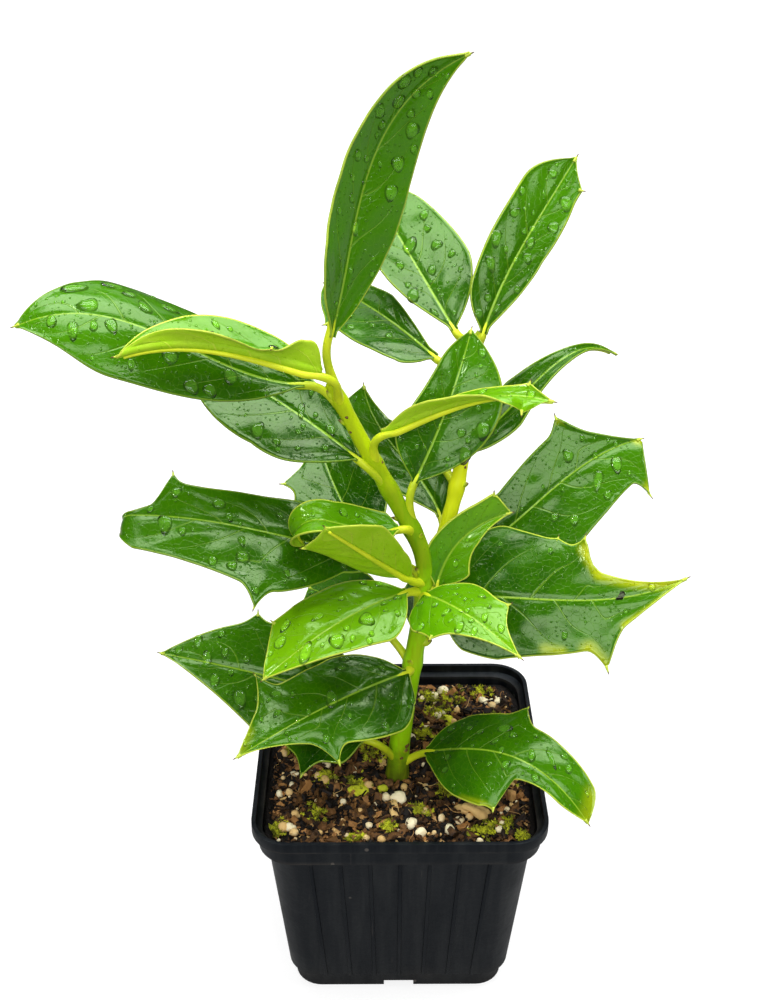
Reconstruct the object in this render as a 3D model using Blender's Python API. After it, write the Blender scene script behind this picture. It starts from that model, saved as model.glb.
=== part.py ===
"""A young potted holly: one bent stem with a side shoot, large spiny leaves, and a square nursery pot full of mix.

Lengths are millimetres and angles are degrees in the tables below, and MM turns them into Blender's metres.
+Z is up, the viewer looks along +Y and down, and z = 0 is the flat underside of the pot. An azimuth is measured
in plan from +X towards +Y, and a rise is measured up from the horizontal.
"""

import math

import bmesh
import bpy
from mathutils import Vector, noise

MM = 0.001
GAP = 0.3
CLEARANCE = 0.34

# Pot: a square nursery pot, 84 mm over its lip and 67 mm high.
LIP_HALF = 42.0
POT_HEIGHT = 67.0
BAND_HALF = 40.3
WALL_TOP_HALF = 38.0
WALL_FOOT_HALF = 33.3
FOOT_HALF = 32.0
FOOT_HEIGHT = 5.0
WALL = 1.2
CORNER_STEPS = 4
RIBS_A_SIDE = 7
RIB_WIDTH = 1.2
RIB_PROUD = 0.6
DRAIN_RADIUS = 4.5
DRAIN_PLACE = 18.0
NOTCH = (9.0, 2.2)

# Potting mix: its top lies about 6 mm under the lip and swells and dips by a millimetre.
MIX_TOP = 61.0
MIX_SWELL = 1.3
MIX_LUMP = 9.0

# Stem and side shoot: points that the centre passes through, the radius at the two ends, and the leaf nodes.
LIMBS = {
    "main": {
        "path": [
            (-0.4, -5, 60.5), (0.6, -5, 76), (6.2, -5, 120), (7, -4.6, 132), (5.2, -4.4, 141), (-1.2, -4.2, 154.5),
            (-8.5, -4.2, 169), (-17.8, -5, 189),
        ],
        "radii": (3.1, 1.9),
        "nodes": (102, 125, 146, 158, 166, 184),
        "step": 4,
        "sides": 10,
    },
    "shoot": {
        "path": [(7, -4.4, 131), (11.5, 2, 137), (17, 10, 158), (20.5, 24, 189)],
        "radii": (2.2, 1.8),
        "nodes": (152, 187),
        "step": 4,
        "sides": 8,
    },
}
NODE_SWELL = 0.35
NODE_REACH = 2.5
ROOT_FLARE = 0.5
ROOT_REACH = 4.0

# Leaves.
LEAF_THICK = 0.85
STALK_RADIUS = 1.1
RIB_END_RADIUS = 0.5
STALK_RINGS = 4
BLADE_RINGS = 11
ACROSS = (-1.0, -0.5, 0.0, 0.5, 1.0)
SPINE_REACH = 5.0
TIP_HALF = 0.4

# One row a leaf. "limb" and "seat" say which limb it grows from and at what height. "stalk" and "blade" are each an
# azimuth, a rise and a length, and "face" is where the upper side looks at mid length. An edge, left or right as
# seen from above with the tip ahead, is a run of points: place along the blade from 0 to 1, half width, bulge of
# the stretch before it, and where needed the length of a spine and a lift out of the blade. "bow" and "sway" are
# how far the midrib is pushed up and to the right at a third and at two thirds, "twist" turns the blade from base
# to tip, "fold" and "curl" raise the left and right halves, and "hook" rolls the end down from a place, by an angle.
LEAVES = {
    "leaf_01": {
        "limb": "main", "seat": 188, "stalk": (-106, 86, 14.5), "blade": (14, 63, 75), "face": (-45, 10),
        "left": [(0.3, 10.8, 3.8), (0.78, 7.2, 0.1), (1, 0, 1.2)], "right": [(0.42, 11.5, 2.9), (1, 0, 2.9)],
        "bow": (-7, -11), "sway": (-2, -3), "twist": (12, -30), "fold": (14, 14),
    },
    "leaf_02": {
        "limb": "main", "seat": 182, "stalk": (-169, 38, 13), "blade": (-174, 15, 72), "face": (-90, 55),
        "left": [(0.3, 10.6, 0.8), (0.65, 14.6, 1), (1, 0, 3.6)], "right": [(0.62, 15, 3.7), (1, 0, 3.7)],
        "bow": (1.5, 6), "sway": (1, 4), "curl": (-25, -50),
    },
    "leaf_03": {
        "limb": "main", "seat": 184, "stalk": (-118, 50, 15.5), "blade": (-166, 11, 50), "face": (90, 62),
        "left": [(0.12, 7, 3), (0.28, 7, 0.8, 2, -6), (1, 0, 4)], "right": [(0.5, 9.5, 2.4), (1, 0, 2.4)],
        "bow": (3, 4), "fold": (62, 60), "young": True,
    },
    "leaf_04": {
        "limb": "main", "seat": 158, "stalk": (-167, 51, 13), "blade": (147, 17, 60), "face": (-90, 65),
        "left": [(0.4, 15, 4.7), (1, 0, 5.2)], "right": [(0.5, 11, 2.7), (1, 0, 2.7)],
        "bow": (3, 3), "fold": (0, 10),
    },
    "leaf_05": {
        "limb": "shoot", "seat": 184, "stalk": (-171, 10, 10.5), "blade": (128, 7, 51), "face": (-90, 55),
        "left": [(0.12, 9, 2.4), (0.62, 12, 1.8, 1.5), (1, 0, 1.8)], "right": [(0.5, 6.8, 0.2), (1, 0, 2)],
        "bow": (3, 3), "fold": (5, 5),
    },
    "leaf_06": {
        "limb": "shoot", "seat": 188, "stalk": (-164, 41, 7.5), "blade": (121, 32, 55), "face": (-90, 40),
        "left": [(0.5, 9.7, 1.9), (1, 0, 2.5)], "right": [(0.35, 14.5, 3), (0.7, 11.8, 0.8), (1, 0, 2)],
        "fold": (8, 8),
    },
    "leaf_07": {
        "limb": "shoot", "seat": 187, "stalk": (-40, 60, 6), "blade": (43, 50, 54), "face": (-90, 25),
        "left": [(0.25, 8.5, 2), (0.78, 9.5, 0.6), (1, 0, 2.2)],
        "right": [(0.45, 7, 1.7), (0.87, 5.2, 1.2, 1), (1, 0, 0)],
        "sway": (-1.7, -1.2), "fold": (12, 12),
    },
    "leaf_08": {
        "limb": "main", "seat": 146, "stalk": (28, 87, 14), "blade": (50, 57, 43), "face": (-90, 30),
        "left": [(0.3, 10.9, 2.7), (0.75, 6, -0.4), (1, 0, 1.1)], "right": [(0.55, 14, 3.5), (1, 0, 3.5)],
        "bow": (1, 2), "sway": (1, 1), "fold": (12, 12),
    },
    "leaf_09": {
        "limb": "main", "seat": 166, "stalk": (-62, 66, 12), "blade": (-18, 19, 46), "face": (90, 65),
        "left": [(0.35, 4.5, 1.2), (0.65, 2.8, 0), (0.86, 2.8, 0, 0.8), (1, 0, 0)],
        "right": [(0.35, 5, 1.2), (0.62, 3.4, 0), (0.88, 5, 0, 3.5, -4), (1, 0, 0)],
        "bow": (3, 4), "twist": (-10, 60), "fold": (15, 40), "young": True,
    },
    "leaf_10": {
        "limb": "shoot", "seat": 152, "stalk": (106, 35, 10), "blade": (32, 16, 62), "face": (-110, 50),
        "left": [(0.42, 6, 1.5), (0.78, 1.8, -0.2), (1, 0, 0.2)],
        "right": [(0.33, 6.2, 1.7), (0.68, 2.4, -0.5), (0.85, 1, 0), (1, 0, 0.2)],
        "bow": (5, 11), "sway": (0, -2), "fold": (10, 10),
    },
    "leaf_11": {
        "limb": "main", "seat": 125, "stalk": (68, 4, 13), "blade": (16, 29, 68), "face": (-90, 40),
        "left": [(0.4, 9.3, 2.4), (0.75, 12.2, 0.3, 3.5, 1), (1, 0, -2)],
        "right": [(0.45, 17.5, 4.2), (0.7, 14.6, 0), (0.955, 10.5, 0, 6, -1), (0.98, 4, -0.3), (1, 0, 0)],
        "bow": (2, 3), "sway": (1, -2), "fold": (6, 6),
    },
    "leaf_12": {
        "limb": "main", "seat": 122, "stalk": (0, 24, 5.5), "blade": (-8, 10, 67), "face": (-90, 40),
        "left": [
            (0.25, 20.5, 6, 0, -2), (0.47, 16.5, 0, 1), (0.565, 14.8, 0, 0, 1), (0.6, 13.3, 0, 4.2, 2),
            (0.63, 8.2, -0.8), (1, 0, -0.4),
        ],
        "right": [
            (0.02, 8.5, 1), (0.09, 15, 1), (0.25, 17.2, 0.4), (0.47, 15, -0.2), (0.66, 13, 0, 6), (0.74, 7.6, -0.3),
            (1, 0, -1),
        ],
        "sway": (2, 4), "curl": (-20, -10),
    },
    "leaf_13": {
        "limb": "main", "seat": 127, "stalk": (-27, 23, 4), "blade": (13, 46, 29), "face": (-80, 20),
        "left": [(0.35, 6.6, 1.5), (0.93, 6.2, 0, 1), (1, 0, 0)], "right": [(0.25, 7.5, 1.9), (0.6, 4, -0.5), (1, 0, 0)],
        "sway": (-4, -4), "fold": (8, 20), "young": True,
    },
    "leaf_14": {
        "limb": "main", "seat": 121, "stalk": (-82, 57, 8.5), "blade": (-46, -6, 34.5), "face": (-95, 60),
        "left": [(0.35, 9.5, 2.4), (0.66, 7.5, 0.5, 2.5), (1, 0, -0.8)],
        "right": [(0.05, 8.5, 2.2), (0.16, 11.3, 0.6), (0.36, 9.4, 0.3, 1.5), (1, 0, -0.8)],
        "bow": (4, 4), "curl": (-20, -20), "young": True,
    },
    "leaf_15": {
        "limb": "main", "seat": 126, "stalk": (-143, 21, 7), "blade": (-149, -16, 46), "face": (-100, 60),
        "left": [(0.28, 11.5, 3), (1, 0, 1)], "right": [(0.4, 11.8, 2.9), (0.62, 12, 0), (0.78, 11.4, 0, 0.5), (1, 0, 0.8)],
        "bow": (5, 5), "curl": (-15, -15), "young": True,
    },
    "leaf_16": {
        "limb": "main", "seat": 102, "stalk": (-112, -2, 5), "blade": (-150, -9, 54), "face": (-100, 55),
        "left": [(0.05, 9, 2.4), (0.2, 15, 1.6), (0.42, 12.8, 0.4), (0.57, 9.5, 0, 5.5, -2), (1, 0, -1.2)],
        "right": [(0.35, 13.5, 3.5), (0.72, 12.5, -0.3, 6, 1), (1, 0, 0)],
        "bow": (4, 4), "curl": (-20, -20),
    },
    "leaf_17": {
        "limb": "main", "seat": 87, "stalk": (-172, 2, 7.5), "blade": (171, 10, 66), "face": (-95, 50),
        "left": [(0.5, 16.8, 4.3), (1, 0, -1.2)], "right": [(0.45, 16, 4), (0.62, 14.8, 0, 2.5), (1, 0, 1.6)],
        "bow": (3, 3.5), "fold": (5, 5),
    },
    "leaf_18": {
        "limb": "main", "seat": 101, "stalk": (144, 36, 13.5), "blade": (121, -13, 45), "face": (-90, 50),
        "left": [(0.5, 12, 3), (1, 0, 3)], "right": [(0.5, 12, 3), (1, 0, 3)],
        "bow": (2, 2), "fold": (6, 6),
    },
    "leaf_19": {
        "limb": "main", "seat": 66, "stalk": (-154, 47, 16.5), "blade": (153, -11, 36), "face": (-90, 60),
        "left": [(0.15, 9, 2.5), (0.42, 11, -0.5, 4), (1, 0, 0)], "right": [(0.5, 12, 3), (1, 0, 3)],
        "bow": (2, 2), "curl": (-10, -10),
    },
    "leaf_20": {
        "limb": "main", "seat": 64, "stalk": (-26, 43, 12.5), "blade": (-32, -3, 52), "face": (-80, 55),
        "left": [(0.1, 8.2, 1), (0.28, 11.8, 1), (0.49, 12.8, 0.4, 3.5), (0.58, 10.8, -0.4), (0.92, 7.5, 0.4), (1, 0, 1.5)],
        "right": [
            (0.05, 4.5, 0.8), (0.25, 14, 1.3), (0.45, 16, 0.4), (0.55, 14, 0, 1.5, -2), (0.6, 5.2, 0, 0, -2),
            (0.86, 3.4, -0.3), (1, 0, 0.6),
        ],
        "bow": (10, 12), "sway": (-3.5, -4.5), "curl": (-15, -15),
    },
    "leaf_21": {
        "limb": "main", "seat": 130, "stalk": (174, 34, 9), "blade": (-177, 12, 81.5), "face": (-90, 55),
        "left": [(0.19, 6.5, 1), (0.4, 16, 1.2), (0.47, 16.5, 0, 5), (0.88, 9.4, -0.5), (1, 0, 0.9)],
        "right": [(0.35, 11.5, 3), (0.74, 9.6, -0.6), (0.79, 8.2, 0, 4.5), (0.84, 3, -0.3), (0.9, 1.2, 0), (1, 0, 0)],
        "bow": (4.5, 8), "curl": (-10, -10), "fold": (3, 3), "hook": (0.9, 130),
    },
    "leaf_22": {
        "limb": "main", "seat": 145, "stalk": (-133, 31, 7), "blade": (-170, 8.5, 37), "face": (-90, 70),
        "left": [(0.08, 5, 1.3), (0.5, 6, 0.8), (1, 0, 1.8)], "right": [(0.1, 5, 1.3), (0.5, 5.5, 0.8), (1, 0, 1.8)],
        "bow": (0, 3), "fold": (20, 20), "hook": (0.55, 168), "young": True,
    },
    "leaf_23": {
        "limb": "main", "seat": 129, "stalk": (-139, 32, 6.5), "blade": (-139, 43, 40), "face": (80, 0),
        "left": [(0.3, 6, 1.3), (0.65, 9, 0.4), (1, 0, 1.5)], "right": [(0.45, 8.5, 2.2), (0.85, 10.5, 0, 1), (1, 0, 0)],
        "fold": (8, 8), "young": True,
    },
    "leaf_24": {
        "limb": "main", "seat": 127, "stalk": (145, 22, 17), "blade": (118, 28, 46), "face": (-90, 40),
        "left": [(0.5, 13, 3.4), (0.66, 10, 0, 4), (1, 0, -1)], "right": [(0.5, 15, 3.7), (1, 0, 3.7)],
        "sway": (-2.5, -2), "fold": (8, 8),
    },
    "leaf_25": {
        "limb": "shoot", "seat": 134, "stalk": (77, 43, 12.5), "blade": (120, 28, 49), "face": (-90, 35),
        "left": [(0.5, 9, 2.5), (0.9, 8, 0, 1), (1, 0, 0)], "right": [(0.4, 11, 2.8), (0.72, 3.5, -0.3), (1, 0, 0.3)],
        "sway": (0, -2), "fold": (8, 8),
    },
    "leaf_26": {
        "limb": "main", "seat": 114, "stalk": (60, 25, 11), "blade": (56, 4, 46), "face": (-115, 80),
        "left": [(0.45, 11, 2.7), (0.7, 8.5, 0, 3), (1, 0, -0.5)], "right": [(0.5, 11, 2.7), (1, 0, 2.5)],
        "bow": (2, 3), "fold": (8, 8),
    },
    "leaf_27": {
        "limb": "main", "seat": 101, "stalk": (74, 20, 9), "blade": (74, -2, 41), "face": (-106, 80),
        "left": [(0.5, 10, 2.4), (1, 0, 2.4)], "right": [(0.45, 10, 2.4), (0.72, 7.5, 0, 3), (1, 0, -0.5)],
        "bow": (2, 3), "fold": (8, 8),
    },
}

COLOURS = {
    "pot_plastic": ((0.016, 0.016, 0.018, 1.0), 0.42),
    "potting_mix": ((0.055, 0.030, 0.018, 1.0), 0.95),
    "stem_bark": ((0.33, 0.42, 0.06, 1.0), 0.50),
    "leaf_mature": ((0.045, 0.150, 0.030, 1.0), 0.28),
    "leaf_young": ((0.200, 0.420, 0.035, 1.0), 0.32),
}


def clear_scene():
    for obj in list(bpy.data.objects):
        bpy.data.objects.remove(obj, do_unlink=True)


def new_collection(name):
    collection = bpy.data.collections.new(name)
    bpy.context.scene.collection.children.link(collection)
    return collection


def material(name):
    """The plain Principled material of this name, made once."""
    found = bpy.data.materials.get(name)
    if found:
        return found
    colour, roughness = COLOURS[name]
    made = bpy.data.materials.new(name)
    made.use_nodes = True
    made.diffuse_color = colour
    shader = made.node_tree.nodes["Principled BSDF"]
    shader.inputs["Base Color"].default_value = colour
    shader.inputs["Roughness"].default_value = roughness
    shader.inputs["Metallic"].default_value = 0.0
    return made


def heading(azimuth, rise):
    """The unit vector of this azimuth and rise."""
    a = math.radians(azimuth)
    e = math.radians(rise)
    return Vector((math.cos(e) * math.cos(a), math.cos(e) * math.sin(a), math.sin(e)))


def smooth(t):
    t = min(1.0, max(0.0, t))
    return t * t * (3 - 2 * t)


# Meshes


def add_object(name, mesh, collection, surface, origin=(0, 0, 0)):
    """An object with this mesh, standing at its origin and shaded smooth but for its sharp edges."""
    for polygon in mesh.polygons:
        polygon.use_smooth = True
    mesh.set_sharp_from_angle(angle=math.radians(40))
    obj = bpy.data.objects.new(name, mesh)
    obj.location = Vector(origin) * MM
    if surface:
        mesh.materials.append(material(surface))
    collection.objects.link(obj)
    return obj


def loft(name, rings, origin=(0, 0, 0)):
    """A closed body through rings of points: a sheet with one row a ring, rolled up, welded at its seam and capped."""
    sides = len(rings[0])
    sheet = bmesh.new()
    bmesh.ops.create_grid(sheet, x_segments=sides, y_segments=len(rings) - 1)
    sheet.verts.ensure_lookup_table()
    for row, ring in enumerate(rings):
        for column in range(sides + 1):
            point = Vector(ring[column % sides]) - Vector(origin)
            sheet.verts[row * (sides + 1) + column].co = point * MM
    bmesh.ops.remove_doubles(sheet, verts=sheet.verts, dist=1e-7)
    bmesh.ops.holes_fill(sheet, edges=sheet.edges)
    bmesh.ops.recalc_face_normals(sheet, faces=sheet.faces)
    mesh = bpy.data.meshes.new(name)
    sheet.to_mesh(mesh)
    sheet.free()
    return mesh


def boolean(body, cutter, operation):
    modifier = body.modifiers.new(cutter.name, "BOOLEAN")
    modifier.operation = operation
    modifier.object = cutter
    modifier.solver = "EXACT"


def as_cutter(obj, cutters):
    obj.display_type = "WIRE"
    obj.hide_render = True
    for collection in list(obj.users_collection):
        collection.objects.unlink(obj)
    cutters.objects.link(obj)
    return obj


# Pot and mix


def rounded_square(half, corner, height, centre=(0, 0)):
    """One level ring of the pot: a square with round corners."""
    ring = []
    for quarter in range(4):
        for step in range(CORNER_STEPS + 1):
            angle = math.radians(90 * (quarter + step / CORNER_STEPS))
            turn = math.radians(90 * quarter + 45)
            arm = (half - corner) * math.sqrt(2)
            x = arm * math.cos(turn) + corner * math.cos(angle)
            y = arm * math.sin(turn) + corner * math.sin(angle)
            ring.append((centre[0] + x, centre[1] + y, height))
    return ring


def wall_half(height):
    """The outside half width of the tapering wall at a height."""
    share = (height - FOOT_HEIGHT - 1.5) / (POT_HEIGHT - 10 - FOOT_HEIGHT - 1.5)
    return WALL_FOOT_HALF + (WALL_TOP_HALF - WALL_FOOT_HALF) * share


def pot_levels(inset):
    """Half width, corner radius and height from the foot up to the lip, moved inwards by inset."""
    top = POT_HEIGHT
    return [
        (FOOT_HALF - 0.5 - inset, 7 - inset, 0),
        (FOOT_HALF - inset, 7 - inset, FOOT_HEIGHT),
        (WALL_FOOT_HALF - inset, 7.5 - inset, FOOT_HEIGHT + 1.5),
        (WALL_TOP_HALF - inset, 8.5 - inset, top - 10),
        (BAND_HALF - inset, 10 - inset, top - 9),
        (BAND_HALF - inset, 10 - inset, top - 4),
        (LIP_HALF - inset, 11 - inset, top - 3.2),
    ]


def make_pot(parts, cutters):
    """The pot: outside profile up, over the lip and down inside, then ribs joined and holes cut."""
    outside = pot_levels(0) + [(LIP_HALF, 11, POT_HEIGHT - 0.6), (LIP_HALF - 0.5, 10.5, POT_HEIGHT)]
    inside = [(half, corner, max(height, WALL)) for half, corner, height in pot_levels(WALL)]
    profile = outside + [(LIP_HALF - WALL, 11 - WALL, POT_HEIGHT)] + inside[::-1]
    mesh = loft("pot", [rounded_square(half, corner, height) for half, corner, height in profile])
    pot = add_object("pot", mesh, parts, "pot_plastic")
    boolean(pot, pot_ribs(cutters), "UNION")
    boolean(pot, pot_openings(cutters), "DIFFERENCE")
    return pot


def pot_ribs(cutters):
    """Narrow upright ribs between the wall's flat panels, all in one mesh of bars that lean with the wall."""
    low = FOOT_HEIGHT + 2.5
    high = POT_HEIGHT - 11
    bars = bmesh.new()
    for side in range(4):
        out = heading(90 * side, 0)
        along = heading(90 * side + 90, 0)
        for number in range(RIBS_A_SIDE):
            place = 2 * (number + 1) / (RIBS_A_SIDE + 1) - 1
            made = bmesh.ops.create_cube(bars, size=1)["verts"]
            for vert in made:
                height = high if vert.co.z > 0 else low
                depth = wall_half(height) + (RIB_PROUD if vert.co.x > 0 else -WALL / 2)
                across = place * (wall_half(height) - 4) + vert.co.y * RIB_WIDTH
                vert.co = (out * depth + along * across + Vector((0, 0, height))) * MM
    bmesh.ops.recalc_face_normals(bars, faces=bars.faces)
    mesh = bpy.data.meshes.new("pot_ribs")
    bars.to_mesh(mesh)
    bars.free()
    return as_cutter(add_object("pot_ribs", mesh, cutters, None), cutters)


def pot_openings(cutters):
    """Four drain holes through the floor and a shallow notch under the middle of each side."""
    tools = bmesh.new()
    for x in (-DRAIN_PLACE, DRAIN_PLACE):
        for y in (-DRAIN_PLACE, DRAIN_PLACE):
            made = bmesh.ops.create_cone(
                tools, cap_ends=True, segments=12, radius1=DRAIN_RADIUS * MM, radius2=DRAIN_RADIUS * MM, depth=6 * MM
            )["verts"]
            bmesh.ops.translate(tools, verts=made, vec=Vector((x, y, 0)) * MM)
    for side in range(4):
        out = heading(90 * side, 0)
        along = heading(90 * side + 90, 0)
        made = bmesh.ops.create_cube(tools, size=1)["verts"]
        for vert in made:
            depth = FOOT_HALF + 4 * vert.co.x
            height = NOTCH[1] if vert.co.z > 0 else -2
            vert.co = (out * depth + along * vert.co.y * NOTCH[0] + Vector((0, 0, height))) * MM
    bmesh.ops.recalc_face_normals(tools, faces=tools.faces)
    mesh = bpy.data.meshes.new("pot_openings")
    tools.to_mesh(mesh)
    tools.free()
    return as_cutter(add_object("pot_openings", mesh, cutters, None), cutters)


def mix_height(x, y):
    """The top of the mix: gentle lumps that die away at the stem's foot."""
    foot = Vector(LIMBS["main"]["path"][0]).xy
    away = (Vector((x, y)) - foot).length
    lump = noise.noise(Vector((x, y, 0)) / MIX_LUMP)
    flat = LIMBS["main"]["path"][0][2] - GAP
    return flat + (MIX_TOP - flat + MIX_SWELL * lump) * smooth((away - 5) / 12)


def make_mix(parts):
    """The block of potting mix, one gap clear of the pot on every side."""
    inset = WALL + GAP + 0.1
    sides = [(half, corner, height + GAP + 0.2) for half, corner, height in pot_levels(inset)[:5]]
    sides[0] = (*sides[0][:2], WALL + GAP)
    rings = [rounded_square(half, corner, height) for half, corner, height in sides]
    foot = Vector(LIMBS["main"]["path"][0]).xy
    for half, corner in ((BAND_HALF - inset, 9), (32, 9), (25, 8), (18, 7), (11, 5), (5, 3)):
        share = 1 - smooth((half - 5) / 27)
        level = rounded_square(half, corner, 0, foot * share)
        rings.append([(x, y, mix_height(x, y)) for x, y, _ in level])
    return add_object("potting_mix", loft("potting_mix", rings), parts, "potting_mix")


# Stem and shoot


def axis(limb, height):
    """The centre of a limb at a height: a smooth curve through the points of its path."""
    path = [Vector(point) for point in LIMBS[limb]["path"]]
    k = max(i for i in range(len(path) - 1) if i == 0 or path[i].z <= height)
    before = path[max(k - 1, 0)]
    start = path[k]
    end = path[k + 1]
    after = path[min(k + 2, len(path) - 1)]
    rise = end.z - start.z
    u = (height - start.z) / rise
    leave = (end - before) / (end.z - before.z) * rise
    arrive = (after - start) / (after.z - start.z) * rise
    centre = start * (2 * u**3 - 3 * u**2 + 1) + leave * (u**3 - 2 * u**2 + u)
    centre += end * (3 * u**2 - 2 * u**3) + arrive * (u**3 - u**2)
    return Vector((centre.x, centre.y, height))


def limb_radius(limb, height):
    """Taper from foot to top, a little thicker at each node and, on the main stem, at the ground."""
    low = LIMBS[limb]["path"][0][2]
    high = LIMBS[limb]["path"][-1][2]
    start, end = LIMBS[limb]["radii"]
    radius = start + (end - start) * (height - low) / (high - low)
    for node in LIMBS[limb]["nodes"]:
        radius += NODE_SWELL * math.exp(-(((height - node) / NODE_REACH) ** 2))
    if limb == "main":
        radius += ROOT_FLARE * math.exp(-(height - low) / ROOT_REACH)
    return radius


def limb_mesh(name, limb, grow):
    """The limb as a bevelled curve turned into a closed mesh, grow thicker and longer than it is."""
    low = LIMBS[limb]["path"][0][2]
    high = LIMBS[limb]["path"][-1][2]
    steps = round((high - low) / LIMBS[limb]["step"])
    heights = [low + (high - low) * i / steps for i in range(steps + 1)]
    points = [(axis(limb, height), limb_radius(limb, height) + grow) for height in heights]
    points.insert(1, (points[0][0] + Vector((0, 0, 0.6)), points[0][1]))
    if grow:
        ahead = (points[-1][0] - points[-2][0]).normalized()
        points.append((points[-1][0] + ahead * grow, points[-1][1]))
    curve = bpy.data.curves.new(name, "CURVE")
    curve.dimensions = "3D"
    curve.bevel_depth = MM
    curve.bevel_resolution = (LIMBS[limb]["sides"] - 4) // 2
    curve.use_fill_caps = True
    spline = curve.splines.new("POLY")
    spline.points.add(len(points) - 1)
    for slot, (centre, radius) in zip(spline.points, points):
        slot.co = (*(centre * MM), 1)
        slot.radius = radius
    guide = bpy.data.objects.new(name + "_curve", curve)
    bpy.context.scene.collection.objects.link(guide)
    graph = bpy.context.evaluated_depsgraph_get()
    mesh = bpy.data.meshes.new_from_object(guide.evaluated_get(graph))
    bpy.data.objects.remove(guide, do_unlink=True)
    tube = bmesh.new()
    tube.from_mesh(mesh)
    bmesh.ops.remove_doubles(tube, verts=tube.verts, dist=1e-7)
    bmesh.ops.recalc_face_normals(tube, faces=tube.faces)
    tube.to_mesh(mesh)
    tube.free()
    mesh.name = name
    return mesh


# Leaves


def edge_rows(rows):
    """The points of an edge with the base added and missing columns set to nothing."""
    return [(0, 0, 0, 0, 0)] + [tuple(row) + (0,) * (5 - len(row)) for row in rows]


def push(values, t):
    """A smooth push that is nothing at both ends and takes the two values at a third and at two thirds."""
    first, second = values
    return 13.5 * t * (1 - t) * (first * (2 / 3 - t) + second * (t - 1 / 3))


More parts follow.
